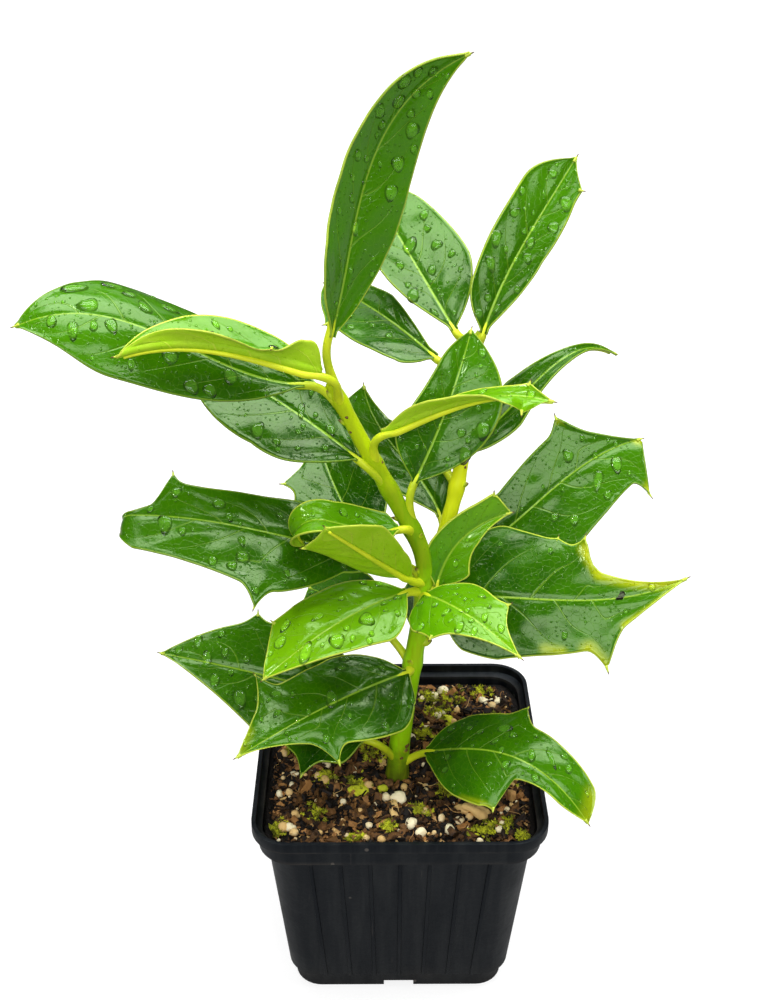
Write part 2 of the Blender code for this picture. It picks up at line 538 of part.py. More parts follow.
class Blade:
    """The shape of one leaf, from its row in LEAVES."""

    def __init__(self, row):
        self.row = row
        self.seat = axis(row["limb"], row["seat"])
        azimuth, rise, length = row["stalk"]
        self.base = self.seat + heading(azimuth, rise) * length
        azimuth, rise, self.length = row["blade"]
        self.ahead = heading(azimuth, rise)
        face = heading(*row["face"])
        self.up = (face - self.ahead * face.dot(self.ahead)).normalized()
        self.right = self.ahead.cross(self.up)
        self.edges = {-1: edge_rows(row["left"]), 1: edge_rows(row["right"])}

    def get(self, name):
        return self.row.get(name, (0, 0))

    def midrib(self, t):
        """The midrib's place at t before any hook."""
        line = self.base + self.ahead * self.length * t
        return line + self.up * push(self.get("bow"), t) + self.right * push(self.get("sway"), t)

    def frame(self, t):
        """Place, direction, upward normal and right hand of the midrib at t."""
        start, angle = self.row.get("hook", (1, 0))
        at = min(t, start)
        place = self.midrib(at)
        ahead = (self.midrib(at + 0.001) - self.midrib(at - 0.001)).normalized()
        twist = self.get("twist")
        turn = math.radians(twist[0] * (1 - t) + twist[1] * t)
        up = self.up * math.cos(turn) + self.right * math.sin(turn)
        up = (up - ahead * up.dot(ahead)).normalized()
        right = ahead.cross(up)
        if t > start:
            bend = math.radians(angle) * (t - start) / (1 - start)
            radius = (1 - start) * self.length / math.radians(angle)
            place = place + ahead * radius * math.sin(bend) - up * radius * (1 - math.cos(bend))
            ahead, up = (
                ahead * math.cos(bend) - up * math.sin(bend),
                up * math.cos(bend) + ahead * math.sin(bend),
            )
        return place, ahead, up, right

    def edge(self, t, hand):
        """Half width and lift of one edge at t."""
        rows = self.edges[hand]
        k = max(i for i in range(len(rows) - 1) if rows[i][0] <= t)
        start, end = rows[k], rows[k + 1]
        u = (t - start[0]) / (end[0] - start[0])
        half = start[1] + (end[1] - start[1]) * u + end[2] * 4 * u * (1 - u)
        lift = start[4] + (end[4] - start[4]) * smooth(u)
        for row in rows:
            near = 1 - abs(t - row[0]) * self.length / SPINE_REACH
            half += row[3] * max(0, near) ** 2
        least = STALK_RADIUS + (TIP_HALF - STALK_RADIUS) * smooth(t / 0.3)
        return max(half, least), lift

    def sheet(self, t, s):
        """The middle of the blade's thickness at t along it and s across it, and the normal there."""
        place, _, up, right = self.frame(t)
        hand = -1 if s < 0 else 1
        half, lift = self.edge(t, hand)
        side = 0 if hand < 0 else 1
        widest = max(row[1] for row in self.edges[hand])
        fold = math.radians(self.get("fold")[side])
        curl = math.radians(self.get("curl")[side]) * min(1, half / widest)
        lean = fold + curl * abs(s) / 2
        over = right * hand * math.cos(lean) + up * math.sin(lean)
        point = place + over * half * abs(s) + up * lift * s * s
        turned = fold + curl * abs(s) if s else 0
        return point, up * math.cos(turned) - right * hand * math.sin(turned)

    def stations(self):
        """Places along the blade: even steps, and three close together at each spine."""
        close = 2.2 / self.length
        spines = {row[0] for rows in self.edges.values() for row in rows if row[3]}
        places = {round(at + k * close, 4) for at in spines for k in (-1, 0, 1) if at + k * close < 0.995}
        for i in range(BLADE_RINGS + 1):
            at = i / BLADE_RINGS
            if all(abs(at - other) > close * 0.8 for other in places):
                places.add(round(at, 4))
        return sorted(places | {1.0})

    def ring(self, t):
        """One ring of the blade, upper side from left to right and lower side back, with a raised rib below."""
        upper = []
        lower = []
        rib = STALK_RADIUS + (RIB_END_RADIUS - STALK_RADIUS) * t
        for s in ACROSS:
            point, normal = self.sheet(t, s)
            below = 2 * rib - LEAF_THICK / 2 if s == 0 else LEAF_THICK / 2
            upper.append(point + normal * LEAF_THICK / 2)
            lower.append(point - normal * below)
        return upper + lower[::-1]

    def stalk_ring(self, t):
        """One round ring of the stalk, which runs from the limb's centre into the line of the midrib."""
        _, ahead, up, _ = self.frame(0)
        end = self.base - up * (STALK_RADIUS - LEAF_THICK / 2)
        reach = (end - self.seat).length
        points = (self.seat, self.seat.lerp(end, 0.35), end - ahead * reach * 0.45, end)
        weights = ((1 - t) ** 3, 3 * t * (1 - t) ** 2, 3 * t * t * (1 - t), t**3)
        slopes = (-((1 - t) ** 2), (1 - t) ** 2 - 2 * t * (1 - t), 2 * t * (1 - t) - t * t, t * t)
        centre = sum((p * w for p, w in zip(points, weights)), Vector())
        along = sum((p * w for p, w in zip(points, slopes)), Vector()).normalized()
        over = (up - along * up.dot(along)).normalized()
        right = along.cross(over)
        count = len(ACROSS)
        angles = [math.radians(180 - (180 * (i + 0.5)) / count) for i in range(2 * count)]
        return [centre + (right * math.cos(a) + over * math.sin(a)) * STALK_RADIUS for a in angles]

    def rings(self):
        stalk = [self.stalk_ring(i / STALK_RINGS) for i in range(STALK_RINGS)]
        return stalk + [self.ring(t) for t in self.stations()]


def make_leaf(name, row, parts, clearances):
    """One leaf with its stalk, its origin at its seat, and cut back one gap clear of the limb it grows from."""
    blade = Blade(row)
    mesh = loft(name, blade.rings(), blade.seat)
    surface = "leaf_young" if row.get("young") else "leaf_mature"
    leaf = add_object(name, mesh, parts, surface, blade.seat)
    boolean(leaf, clearances[row["limb"]], "DIFFERENCE")
    return leaf


def main():
    clear_scene()
    parts = new_collection("potted_holly")
    cutters = new_collection("cutters")
    cutters.hide_render = True
    stand = bpy.data.objects.new("holly_frame", None)
    parts.objects.link(stand)
    made = [make_pot(parts, cutters), make_mix(parts)]
    clearances = {}
    for limb in LIMBS:
        tool = add_object(limb + "_clearance", limb_mesh(limb + "_clearance", limb, CLEARANCE), cutters, None)
        clearances[limb] = as_cutter(tool, cutters)
    stem = add_object("main_stem", limb_mesh("main_stem", "main", 0), parts, "stem_bark")
    shoot = add_object("side_shoot", limb_mesh("side_shoot", "shoot", 0), parts, "stem_bark")
    boolean(shoot, clearances["main"], "DIFFERENCE")
    made += [stem, shoot]
    for name, row in LEAVES.items():
        made.append(make_leaf(name, row, parts, clearances))
    for obj in made:
        obj.parent = stand


main()
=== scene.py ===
import math

import bmesh
import bpy
import numpy as np
from bpy.props import FloatProperty, FloatVectorProperty, IntProperty, PointerProperty
from mathutils import Matrix, Vector, noise


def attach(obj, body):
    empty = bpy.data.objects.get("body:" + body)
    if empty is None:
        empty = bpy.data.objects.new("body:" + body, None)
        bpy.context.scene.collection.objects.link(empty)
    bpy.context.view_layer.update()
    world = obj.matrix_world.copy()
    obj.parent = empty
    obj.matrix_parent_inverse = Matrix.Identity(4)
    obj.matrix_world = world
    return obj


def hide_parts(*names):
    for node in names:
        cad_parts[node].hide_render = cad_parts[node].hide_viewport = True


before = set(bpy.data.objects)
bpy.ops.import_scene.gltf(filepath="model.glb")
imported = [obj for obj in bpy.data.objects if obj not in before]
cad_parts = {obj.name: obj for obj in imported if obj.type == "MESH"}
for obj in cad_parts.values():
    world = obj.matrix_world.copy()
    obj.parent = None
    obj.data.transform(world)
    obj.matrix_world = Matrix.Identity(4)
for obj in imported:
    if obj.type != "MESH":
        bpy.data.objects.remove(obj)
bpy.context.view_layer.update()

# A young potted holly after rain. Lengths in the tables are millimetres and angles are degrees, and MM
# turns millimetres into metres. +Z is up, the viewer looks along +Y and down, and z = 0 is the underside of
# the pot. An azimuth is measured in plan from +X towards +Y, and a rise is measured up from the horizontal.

bl_info = {
    "name": "Potted holly",
    "version": (1, 0, 0),
    "blender": (4, 5, 0),
    "location": "View3D > Sidebar > Potted holly",
    "description": "Leaves, stems, potting mix, rain and a square black pot for the solids of a holly",
    "category": "Object",
}

MM = 0.001

# Pot: a square nursery pot, 84 mm over its lip and 67 mm high.
LIP_HALF = 42.0
POT_HEIGHT = 67.0
BAND_HALF = 40.3
WALL_TOP_HALF = 38.0
WALL_FOOT_HALF = 33.3
FOOT_HALF = 32.0
FOOT_HEIGHT = 5.0
BASE_HALF = FOOT_HALF - 0.5
BASE_HEIGHT = 1.0
WALL_LOW = FOOT_HEIGHT + 1.5
WALL_HIGH = POT_HEIGHT - 10
BAND_LOW = POT_HEIGHT - 9
BAND_HIGH = POT_HEIGHT - 4
LIP_LOW = POT_HEIGHT - 3.2
WALL = 1.2
CORNER_ROUND = 8.0
EDGE_ROUND = 0.5
SHARP_EDGE = 32
SMOOTH_EDGE = 28
RIBS_A_SIDE = 7
RIB_WIDTH = 1.2
RIB_PROUD = 0.6
RIB_SLOPE = 0.12
RIB_MARGIN = 4.0
DRAIN_RADIUS = 4.5
DRAIN_PLACE = 18.0
NOTCH_WIDTH = 9.0
NOTCH_HEIGHT = 2.2
NOTCH_DEPTH = 4.0

# Potting mix: its top lies about 6 mm under the lip and swells and dips by a millimetre. BED_SIDES has the
# half width and height of each level that follows the pot's inside.
MIX_TOP = 61.0
MIX_SWELL = 1.3
MIX_LUMP = 9.0
BED_SIDES = ((29.5, 1.6), (30.2, 5.5), (31.6, 7.5), (36.3, 58.5), (38.6, 60))
BED_TOP_HALF = 38.7
BED_MIDDLE_HALF = 0.4
BED_RIM = 39.0
BED_RINGS = 46
BED_COLUMNS = 120
CRUMB_FINE = 1.6
CRUMB_COARSE = 4.0
FRAY = 0.12
FRAY_SEED = 1
STREWN_HALF = 38.2
MOSS_HALF = 36.5
FOOT_CLEAR = 3.6
FOOT_SINK = 0.3
FOOT_FLAT = 5.0
FOOT_FADE = 12.0
MOSS_SPRIGS = 20
MOSS_SIZES = (0.8, 2.4)
MOSS_RISE = (0.6, 1.8)
TWIG_STEPS = 8
TWIG_RADIUS = 22.0
FULL_TURN = 6.283

# Stem and side shoot: points that the centre passes through, radius at the two ends, and leaf nodes.
LIMBS = {
    "main": {
        "path": [
            (-0.4, -5, 60.5), (0.6, -5, 76), (6.2, -5, 120), (7, -4.6, 132),
            (5.2, -4.4, 141), (-1.2, -4.2, 154.5), (-8.5, -4.2, 169), (-17.8, -5, 189),
        ],
        "radii": (3.1, 1.9),
        "nodes": (102, 125, 146, 158, 166, 184),
    },
    "shoot": {
        "path": [(7, -4.4, 131), (11.5, 2, 137), (17, 10, 158), (20.5, 24, 189)],
        "radii": (2.2, 1.8),
        "nodes": (152, 187),
    },
}
STEM_FOOT = Vector(LIMBS["main"]["path"][0])
NODE_SWELL = 0.35
NODE_REACH = 2.5
ROOT_FLARE = 0.5
ROOT_REACH = 4.0
LIMB_SIDES = 40
LIMB_STEP = 0.55
LIMB_SWIRL = 0.07
LIMB_WRINKLE = 0.025

# Leaves.
STALK_RADIUS = 1.1
RIB_END_RADIUS = 0.5
STALK_STEPS = 16
STALK_SIDES = 12
RIB_STEPS = 44
RIB_END = 0.97
COLUMNS = 40
COLUMN_SPREAD = 1.25
ROW_STEP = 0.8
FOLD_REACH = 1.5
SPINE_REACH = 5.0
SPINE_LEAST = 2.0
SPINE_GROWTH = 0.12
TIP_SPINE = 2.6
SPINE_RADIUS = 0.42
SPINE_STEPS = 8
GROOVE = 0.4
GROOVE_HALF = 0.9
VEIN_MARGIN = 2.5
SKIN_LIFT = 0.25
RIM_LIFT = 0.22
RIM_WIDTH = 0.9
WAVES = ((13.0, 0.9), (5.5, 0.25))
WAVE_START = 5.0
TIP_HALF = 0.4
BURY = 0.4
STALK_FLARE = 0.55
STALK_FLARE_REACH = 3.4

# One row a leaf. "limb" and "seat" say which limb it grows from and at what height. "stalk" and "blade" are
# each an azimuth, a rise and a length, and "face" is where the upper side looks at mid length. An edge, left
# or right as seen from above with the tip ahead, is a run of points: place along the blade from 0 to 1, half
# width, bulge of the stretch before it, and where needed the length of a spine and a lift out of the blade.
# "bow" and "sway" are how far the midrib is pushed up and to the right at a third and at two thirds, "twist"
# turns the blade from base to tip, "fold" and "curl" raise the left and right halves, and "hook" rolls the
# end down from a place, by an angle. "drops" is how many beads of rain it may get, "tone" goes from its dark
# green to its light one, "rim" from a dull margin to a pale one, and "wet" is how strong its film of water
# is. "age" has the yellow strokes and "dead" the black ones: place along and across at both ends, reach and
# strength, with -1 at the left edge and 1 at the right one.
# Tones are set leaf by leaf and are darker on the low and back leaves: partly each leaf's own green, partly
# painted shade.
LEAVES = {
    "leaf_01": {
        "drops": 50, "tone": 1, "rim": 0.6, "wet": 0.7,
        "limb": "main", "seat": 188, "stalk": (-106, 86, 14.5), "blade": (14, 63, 75), "face": (-45, 10),
        "left": [(0.3, 10.8, 3.8), (0.78, 7.2, 0.1), (1, 0, 1.2)],
        "right": [(0.42, 11.5, 2.9), (1, 0, 2.9)],
        "bow": (-7, -11), "sway": (-2, -3), "twist": (12, -30), "fold": (14, 14),
    },
    "leaf_02": {
        "drops": 60, "tone": 0.5, "rim": 0.15, "wet": 1,
        "limb": "main", "seat": 182, "stalk": (-169, 38, 13), "blade": (-174, 15, 72), "face": (-90, 55),
        "left": [(0.3, 10.6, 0.8), (0.65, 14.6, 1), (1, 0, 3.6)], "right": [(0.62, 15, 3.7), (1, 0, 3.7)],
        "bow": (1.5, 6), "sway": (1, 4), "curl": (-25, -50),
    },
    "leaf_03": {
        "drops": 8, "tone": 0.15, "rim": 1, "wet": 0.5,
        "limb": "main", "seat": 184, "stalk": (-118, 50, 15.5), "blade": (-166, 11, 50), "face": (90, 62),
        "left": [(0.12, 7, 3), (0.28, 7, 0.8, 2, -6), (1, 0, 4)], "right": [(0.5, 9.5, 2.4), (1, 0, 2.4)],
        "bow": (3, 4), "fold": (62, 60), "young": True,
    },
    "leaf_04": {
        "drops": 45, "tone": 0.3, "rim": 0.2, "wet": 1,
        "limb": "main", "seat": 158, "stalk": (-167, 51, 13), "blade": (147, 17, 60), "face": (-90, 65),
        "left": [(0.4, 15, 4.7), (1, 0, 5.2)], "right": [(0.5, 11, 2.7), (1, 0, 2.7)],
        "bow": (3, 3), "fold": (0, 10),
    },
    "leaf_05": {
        "drops": 24, "tone": 0.3, "rim": 0.3, "wet": 1,
        "limb": "shoot", "seat": 184, "stalk": (-171, 10, 10.5), "blade": (128, 7, 51), "face": (-90, 55),
        "left": [(0.12, 9, 2.4), (0.62, 12, 1.8, 1.5), (1, 0, 1.8)],
        "right": [(0.5, 6.8, 0.2), (1, 0, 2)],
        "bow": (3, 3), "fold": (5, 5),
    },
    "leaf_06": {
        "drops": 30, "tone": 0.45, "rim": 0.4, "wet": 1,
        "limb": "shoot", "seat": 188, "stalk": (-164, 41, 7.5), "blade": (121, 32, 55), "face": (-90, 40),
        "left": [(0.5, 9.7, 1.9), (1, 0, 2.5)], "right": [(0.35, 14.5, 3), (0.7, 11.8, 0.8), (1, 0, 2)],
        "fold": (8, 8),
    },
    "leaf_07": {
        "drops": 50, "tone": 0.5, "rim": 0.5, "wet": 1,
        "limb": "shoot", "seat": 187, "stalk": (-40, 60, 6), "blade": (43, 50, 54), "face": (-90, 25),
        "left": [(0.25, 8.5, 2), (0.78, 9.5, 0.6), (1, 0, 2.2)],
        "right": [(0.45, 7, 1.7), (0.87, 5.2, 1.2, 1), (1, 0, 0)],
        "sway": (-1.7, -1.2), "fold": (12, 12),
    },
    "leaf_08": {
        "drops": 60, "tone": 0.45, "rim": 0.3, "wet": 1,
        "limb": "main", "seat": 146, "stalk": (28, 87, 14), "blade": (50, 57, 43), "face": (-90, 30),
        "left": [(0.3, 10.9, 2.7), (0.75, 6, -0.4), (1, 0, 1.1)], "right": [(0.55, 14, 3.5), (1, 0, 3.5)],
        "bow": (1, 2), "sway": (1, 1), "fold": (12, 12),
    },
    "leaf_09": {
        "drops": 14, "tone": 0.4, "rim": 1, "wet": 0.8,
        "limb": "main", "seat": 166, "stalk": (-62, 66, 12), "blade": (-18, 19, 46), "face": (90, 65),
        "left": [(0.35, 4.5, 1.2), (0.65, 2.8, 0), (0.86, 2.8, 0, 0.8), (1, 0, 0)],
        "right": [(0.35, 5, 1.2), (0.62, 3.4, 0), (0.88, 5, 0, 3.5, -4), (1, 0, 0)],
        "bow": (3, 4), "twist": (-10, 60), "fold": (15, 40), "young": True,
    },
    "leaf_10": {
        "drops": 16, "tone": 0.25, "rim": 0.3, "wet": 0.6,
        "limb": "shoot", "seat": 152, "stalk": (106, 35, 10), "blade": (32, 16, 62), "face": (-110, 50),
        "left": [(0.42, 6, 1.5), (0.78, 1.8, -0.2), (1, 0, 0.2)],
        "right": [(0.33, 6.2, 1.7), (0.68, 2.4, -0.5), (0.85, 1, 0), (1, 0, 0.2)],
        "bow": (5, 11), "sway": (0, -2), "fold": (10, 10),
    },
    "leaf_11": {
        "drops": 40, "tone": 0.3, "rim": 0.15, "wet": 1,
        "age": [
            (0.955, 0.9, 0.955, 1, 3, 0.8), (0.99, 0, 1, 0, 2.5, 0.8), (0.75, -0.95, 0.75, -1, 2.2, 0.7),
        ],
        "limb": "main", "seat": 125, "stalk": (68, 4, 13), "blade": (16, 29, 68), "face": (-90, 40),
        "left": [(0.4, 9.3, 2.4), (0.75, 12.2, 0.3, 3.5, 1), (1, 0, -2)],
        "right": [(0.45, 17.5, 4.2), (0.7, 14.6, 0), (0.955, 10.5, 0, 6, -1), (0.98, 4, -0.3), (1, 0, 0)],
        "bow": (2, 3), "sway": (1, -2), "fold": (6, 6),
    },
    "leaf_12": {
        "drops": 16, "tone": 0.3, "rim": 0.8, "wet": 0.3,
        "age": [
            (0.6, -0.8, 0.66, -1, 3.6, 0.9), (0.66, -1, 1, 0, 3.8, 1), (0.74, 1, 1, 0, 2.2, 0.9),
            (0.6, 0.96, 0.66, 1, 3.6, 0.8), (0.44, 0.88, 0.5, 0.96, 2.6, 0.6),
        ],
        "dead": [(0.735, -0.02, 0.745, -0.2, 1.6, 1), (0.72, 0.02, 0.74, 0, 1.1, 0.8)],
        "limb": "main", "seat": 122, "stalk": (0, 24, 5.5), "blade": (-8, 10, 67), "face": (-90, 40),
        "left": [
            (0.25, 20.5, 6, 0, -2), (0.47, 16.5, 0, 1), (0.565, 14.8, 0, 0, 1), (0.6, 13.3, 0, 4.2, 2),
            (0.63, 8.2, -0.8), (1, 0, -0.4),
        ],
        "right": [
            (0.02, 8.5, 1), (0.09, 15, 1), (0.25, 17.2, 0.4), (0.47, 15, -0.2), (0.66, 13, 0, 6),
            (0.74, 7.6, -0.3), (1, 0, -1),
        ],
        "sway": (2, 4), "curl": (-20, -10),
    },
    "leaf_13": {
        "drops": 12, "tone": 0.3, "rim": 1, "wet": 0.8,
        "limb": "main", "seat": 127, "stalk": (-27, 23, 4), "blade": (13, 46, 29), "face": (-80, 20),
        "left": [(0.35, 6.6, 1.5), (0.93, 6.2, 0, 1), (1, 0, 0)],
        "right": [(0.25, 7.5, 1.9), (0.6, 4, -0.5), (1, 0, 0)],
        "sway": (-4, -4), "fold": (8, 20), "young": True,
    },
    "leaf_14": {
        "drops": 40, "tone": 0.4, "rim": 1, "wet": 1,
        "limb": "main", "seat": 121, "stalk": (-82, 57, 8.5), "blade": (-46, -6, 34.5), "face": (-95, 60),
        "left": [(0.35, 9.5, 2.4), (0.66, 7.5, 0.5, 2.5), (1, 0, -0.8)],
        "right": [(0.05, 8.5, 2.2), (0.16, 11.3, 0.6), (0.36, 9.4, 0.3, 1.5), (1, 0, -0.8)],
        "bow": (4, 4), "curl": (-20, -20), "young": True,
    },
    "leaf_15": {
        "drops": 40, "tone": 0.7, "rim": 1, "wet": 1,
        "limb": "main", "seat": 126, "stalk": (-143, 21, 7), "blade": (-149, -16, 46), "face": (-100, 60),
        "left": [(0.28, 11.5, 3), (1, 0, 1)],
        "right": [(0.4, 11.8, 2.9), (0.62, 12, 0), (0.78, 11.4, 0, 0.5), (1, 0, 0.8)],
        "bow": (5, 5), "curl": (-15, -15), "young": True,
    },
    "leaf_16": {
        "drops": 60, "tone": 0.4, "rim": 0.9, "wet": 1,
        "age": [(0.9, 1, 1, 0, 3, 0.5)],
        "limb": "main", "seat": 102, "stalk": (-112, -2, 5), "blade": (-150, -9, 54), "face": (-100, 55),
        "left": [
            (0.05, 9, 2.4), (0.2, 15, 1.6), (0.42, 12.8, 0.4), (0.57, 9.5, 0, 5.5, -2), (1, 0, -1.2),
        ],
        "right": [(0.35, 13.5, 3.5), (0.72, 12.5, -0.3, 6, 1), (1, 0, 0)],
        "bow": (4, 4), "curl": (-20, -20),
    },
    "leaf_17": {
        "drops": 50, "tone": 0.25, "rim": 0.5, "wet": 1,
        "limb": "main", "seat": 87, "stalk": (-172, 2, 7.5), "blade": (171, 10, 66), "face": (-95, 50),
        "left": [(0.5, 16.8, 4.3), (1, 0, -1.2)],
        "right": [(0.45, 16, 4), (0.62, 14.8, 0, 2.5), (1, 0, 1.6)],
        "bow": (3, 3.5), "fold": (5, 5),
    },
    "leaf_18": {
        "drops": 24, "tone": 0.25, "rim": 0.6, "wet": 1,
        "limb": "main", "seat": 101, "stalk": (144, 36, 13.5), "blade": (121, -13, 45), "face": (-90, 50),
        "left": [(0.5, 12, 3), (1, 0, 3)], "right": [(0.5, 12, 3), (1, 0, 3)],
        "bow": (2, 2), "fold": (6, 6),
    },
    "leaf_19": {
        "drops": 6, "tone": 0.1, "rim": 0.4, "wet": 0.4,
        "limb": "main", "seat": 66, "stalk": (-154, 47, 16.5), "blade": (153, -11, 36), "face": (-90, 60),
        "left": [(0.15, 9, 2.5), (0.42, 11, -0.5, 4), (1, 0, 0)], "right": [(0.5, 12, 3), (1, 0, 3)],
        "bow": (2, 2), "curl": (-10, -10),
    },
    "leaf_20": {
        "drops": 50, "tone": 0.5, "rim": 0.9, "wet": 1,
        "age": [(0.95, -1, 1, 0, 4, 0.5), (0.3, 1, 0.55, 1, 1.6, 0.4)],
        "limb": "main", "seat": 64, "stalk": (-26, 43, 12.5), "blade": (-32, -3, 52), "face": (-80, 55),
        "left": [
            (0.1, 8.2, 1), (0.28, 11.8, 1), (0.49, 12.8, 0.4, 3.5), (0.58, 10.8, -0.4), (0.92, 7.5, 0.4),
            (1, 0, 1.5),
        ],
        "right": [
            (0.05, 4.5, 0.8), (0.25, 14, 1.3), (0.45, 16, 0.4), (0.55, 14, 0, 1.5, -2),
            (0.6, 5.2, 0, 0, -2), (0.86, 3.4, -0.3), (1, 0, 0.6),
        ],
        "bow": (10, 12), "sway": (-3.5, -4.5), "curl": (-15, -15),
    },
    "leaf_21": {
        "drops": 70, "tone": 0.35, "rim": 0.25, "wet": 1,
        "age": [(0.96, -1, 1, 0, 3, 0.6)],
        "limb": "main", "seat": 130, "stalk": (174, 34, 9), "blade": (-177, 12, 81.5), "face": (-90, 55),
        "left": [(0.19, 6.5, 1), (0.4, 16, 1.2), (0.47, 16.5, 0, 5), (0.88, 9.4, -0.5), (1, 0, 0.9)],
        "right": [
            (0.35, 11.5, 3), (0.74, 9.6, -0.6), (0.79, 8.2, 0, 4.5), (0.84, 3, -0.3), (0.9, 1.2, 0),
            (1, 0, 0),
        ],
        "bow": (4.5, 8), "curl": (-10, -10), "fold": (3, 3), "hook": (0.9, 130),
    },
    "leaf_22": {
        "drops": 8, "tone": 0.2, "rim": 0.9, "wet": 0.6,
        "limb": "main", "seat": 145, "stalk": (-133, 31, 7), "blade": (-170, 8.5, 37), "face": (-90, 70),
        "left": [(0.08, 5, 1.3), (0.5, 6, 0.8), (1, 0, 1.8)],
        "right": [(0.1, 5, 1.3), (0.5, 5.5, 0.8), (1, 0, 1.8)],
        "bow": (0, 3), "fold": (20, 20), "hook": (0.55, 168), "young": True,
    },
    "leaf_23": {
        "drops": 0, "tone": 0.1, "rim": 1, "wet": 0,
        "limb": "main", "seat": 129, "stalk": (-139, 32, 6.5), "blade": (-139, 43, 40), "face": (80, 0),
        "left": [(0.3, 6, 1.3), (0.65, 9, 0.4), (1, 0, 1.5)],
        "right": [(0.45, 8.5, 2.2), (0.85, 10.5, 0, 1), (1, 0, 0)],
        "fold": (8, 8), "young": True,
    },
    "leaf_24": {
        "drops": 8, "tone": 0.15, "rim": 0.4, "wet": 0.3,
        "limb": "main", "seat": 127, "stalk": (145, 22, 17), "blade": (118, 28, 46), "face": (-90, 40),
        "left": [(0.5, 13, 3.4), (0.66, 10, 0, 4), (1, 0, -1)], "right": [(0.5, 15, 3.7), (1, 0, 3.7)],
        "sway": (-2.5, -2), "fold": (8, 8),
    },
    "leaf_25": {
        "drops": 8, "tone": 0.4, "rim": 0.5, "wet": 0.6,
        "limb": "shoot", "seat": 134, "stalk": (77, 43, 12.5), "blade": (120, 28, 49), "face": (-90, 35),
        "left": [(0.5, 9, 2.5), (0.9, 8, 0, 1), (1, 0, 0)],
        "right": [(0.4, 11, 2.8), (0.72, 3.5, -0.3), (1, 0, 0.3)],
        "sway": (0, -2), "fold": (8, 8),
    },
    "leaf_26": {
        "drops": 20, "tone": 0.2, "rim": 0.4, "wet": 0.6,
        "limb": "main", "seat": 114, "stalk": (60, 25, 11), "blade": (56, 4, 46), "face": (-115, 80),
        "left": [(0.45, 11, 2.7), (0.7, 8.5, 0, 3), (1, 0, -0.5)], "right": [(0.5, 11, 2.7), (1, 0, 2.5)],
        "bow": (2, 3), "fold": (8, 8),
    },
    "leaf_27": {
        "drops": 20, "tone": 0.22, "rim": 0.4, "wet": 0.6,
        "limb": "main", "seat": 101, "stalk": (74, 20, 9), "blade": (74, -2, 41), "face": (-106, 80),
        "left": [(0.5, 10, 2.4), (1, 0, 2.4)],
        "right": [(0.45, 10, 2.4), (0.72, 7.5, 0, 3), (1, 0, -0.5)],
        "bow": (2, 3), "fold": (8, 8),
    },
}

# Leaf pattern: how far side veins lean towards the tip, how much they sway and how that differs between
# leaves, and for the side veins and the midrib the width at the start and how much of it is lost on the way.
VEIN_LEAN = (0.2, 0.12)
VEIN_SWAY = 0.12
VEIN_PHASE = 20.0
VEIN_WIDTH = (0.055, 0.035)
MIDRIB_WIDTH = (0.36, 0.24)

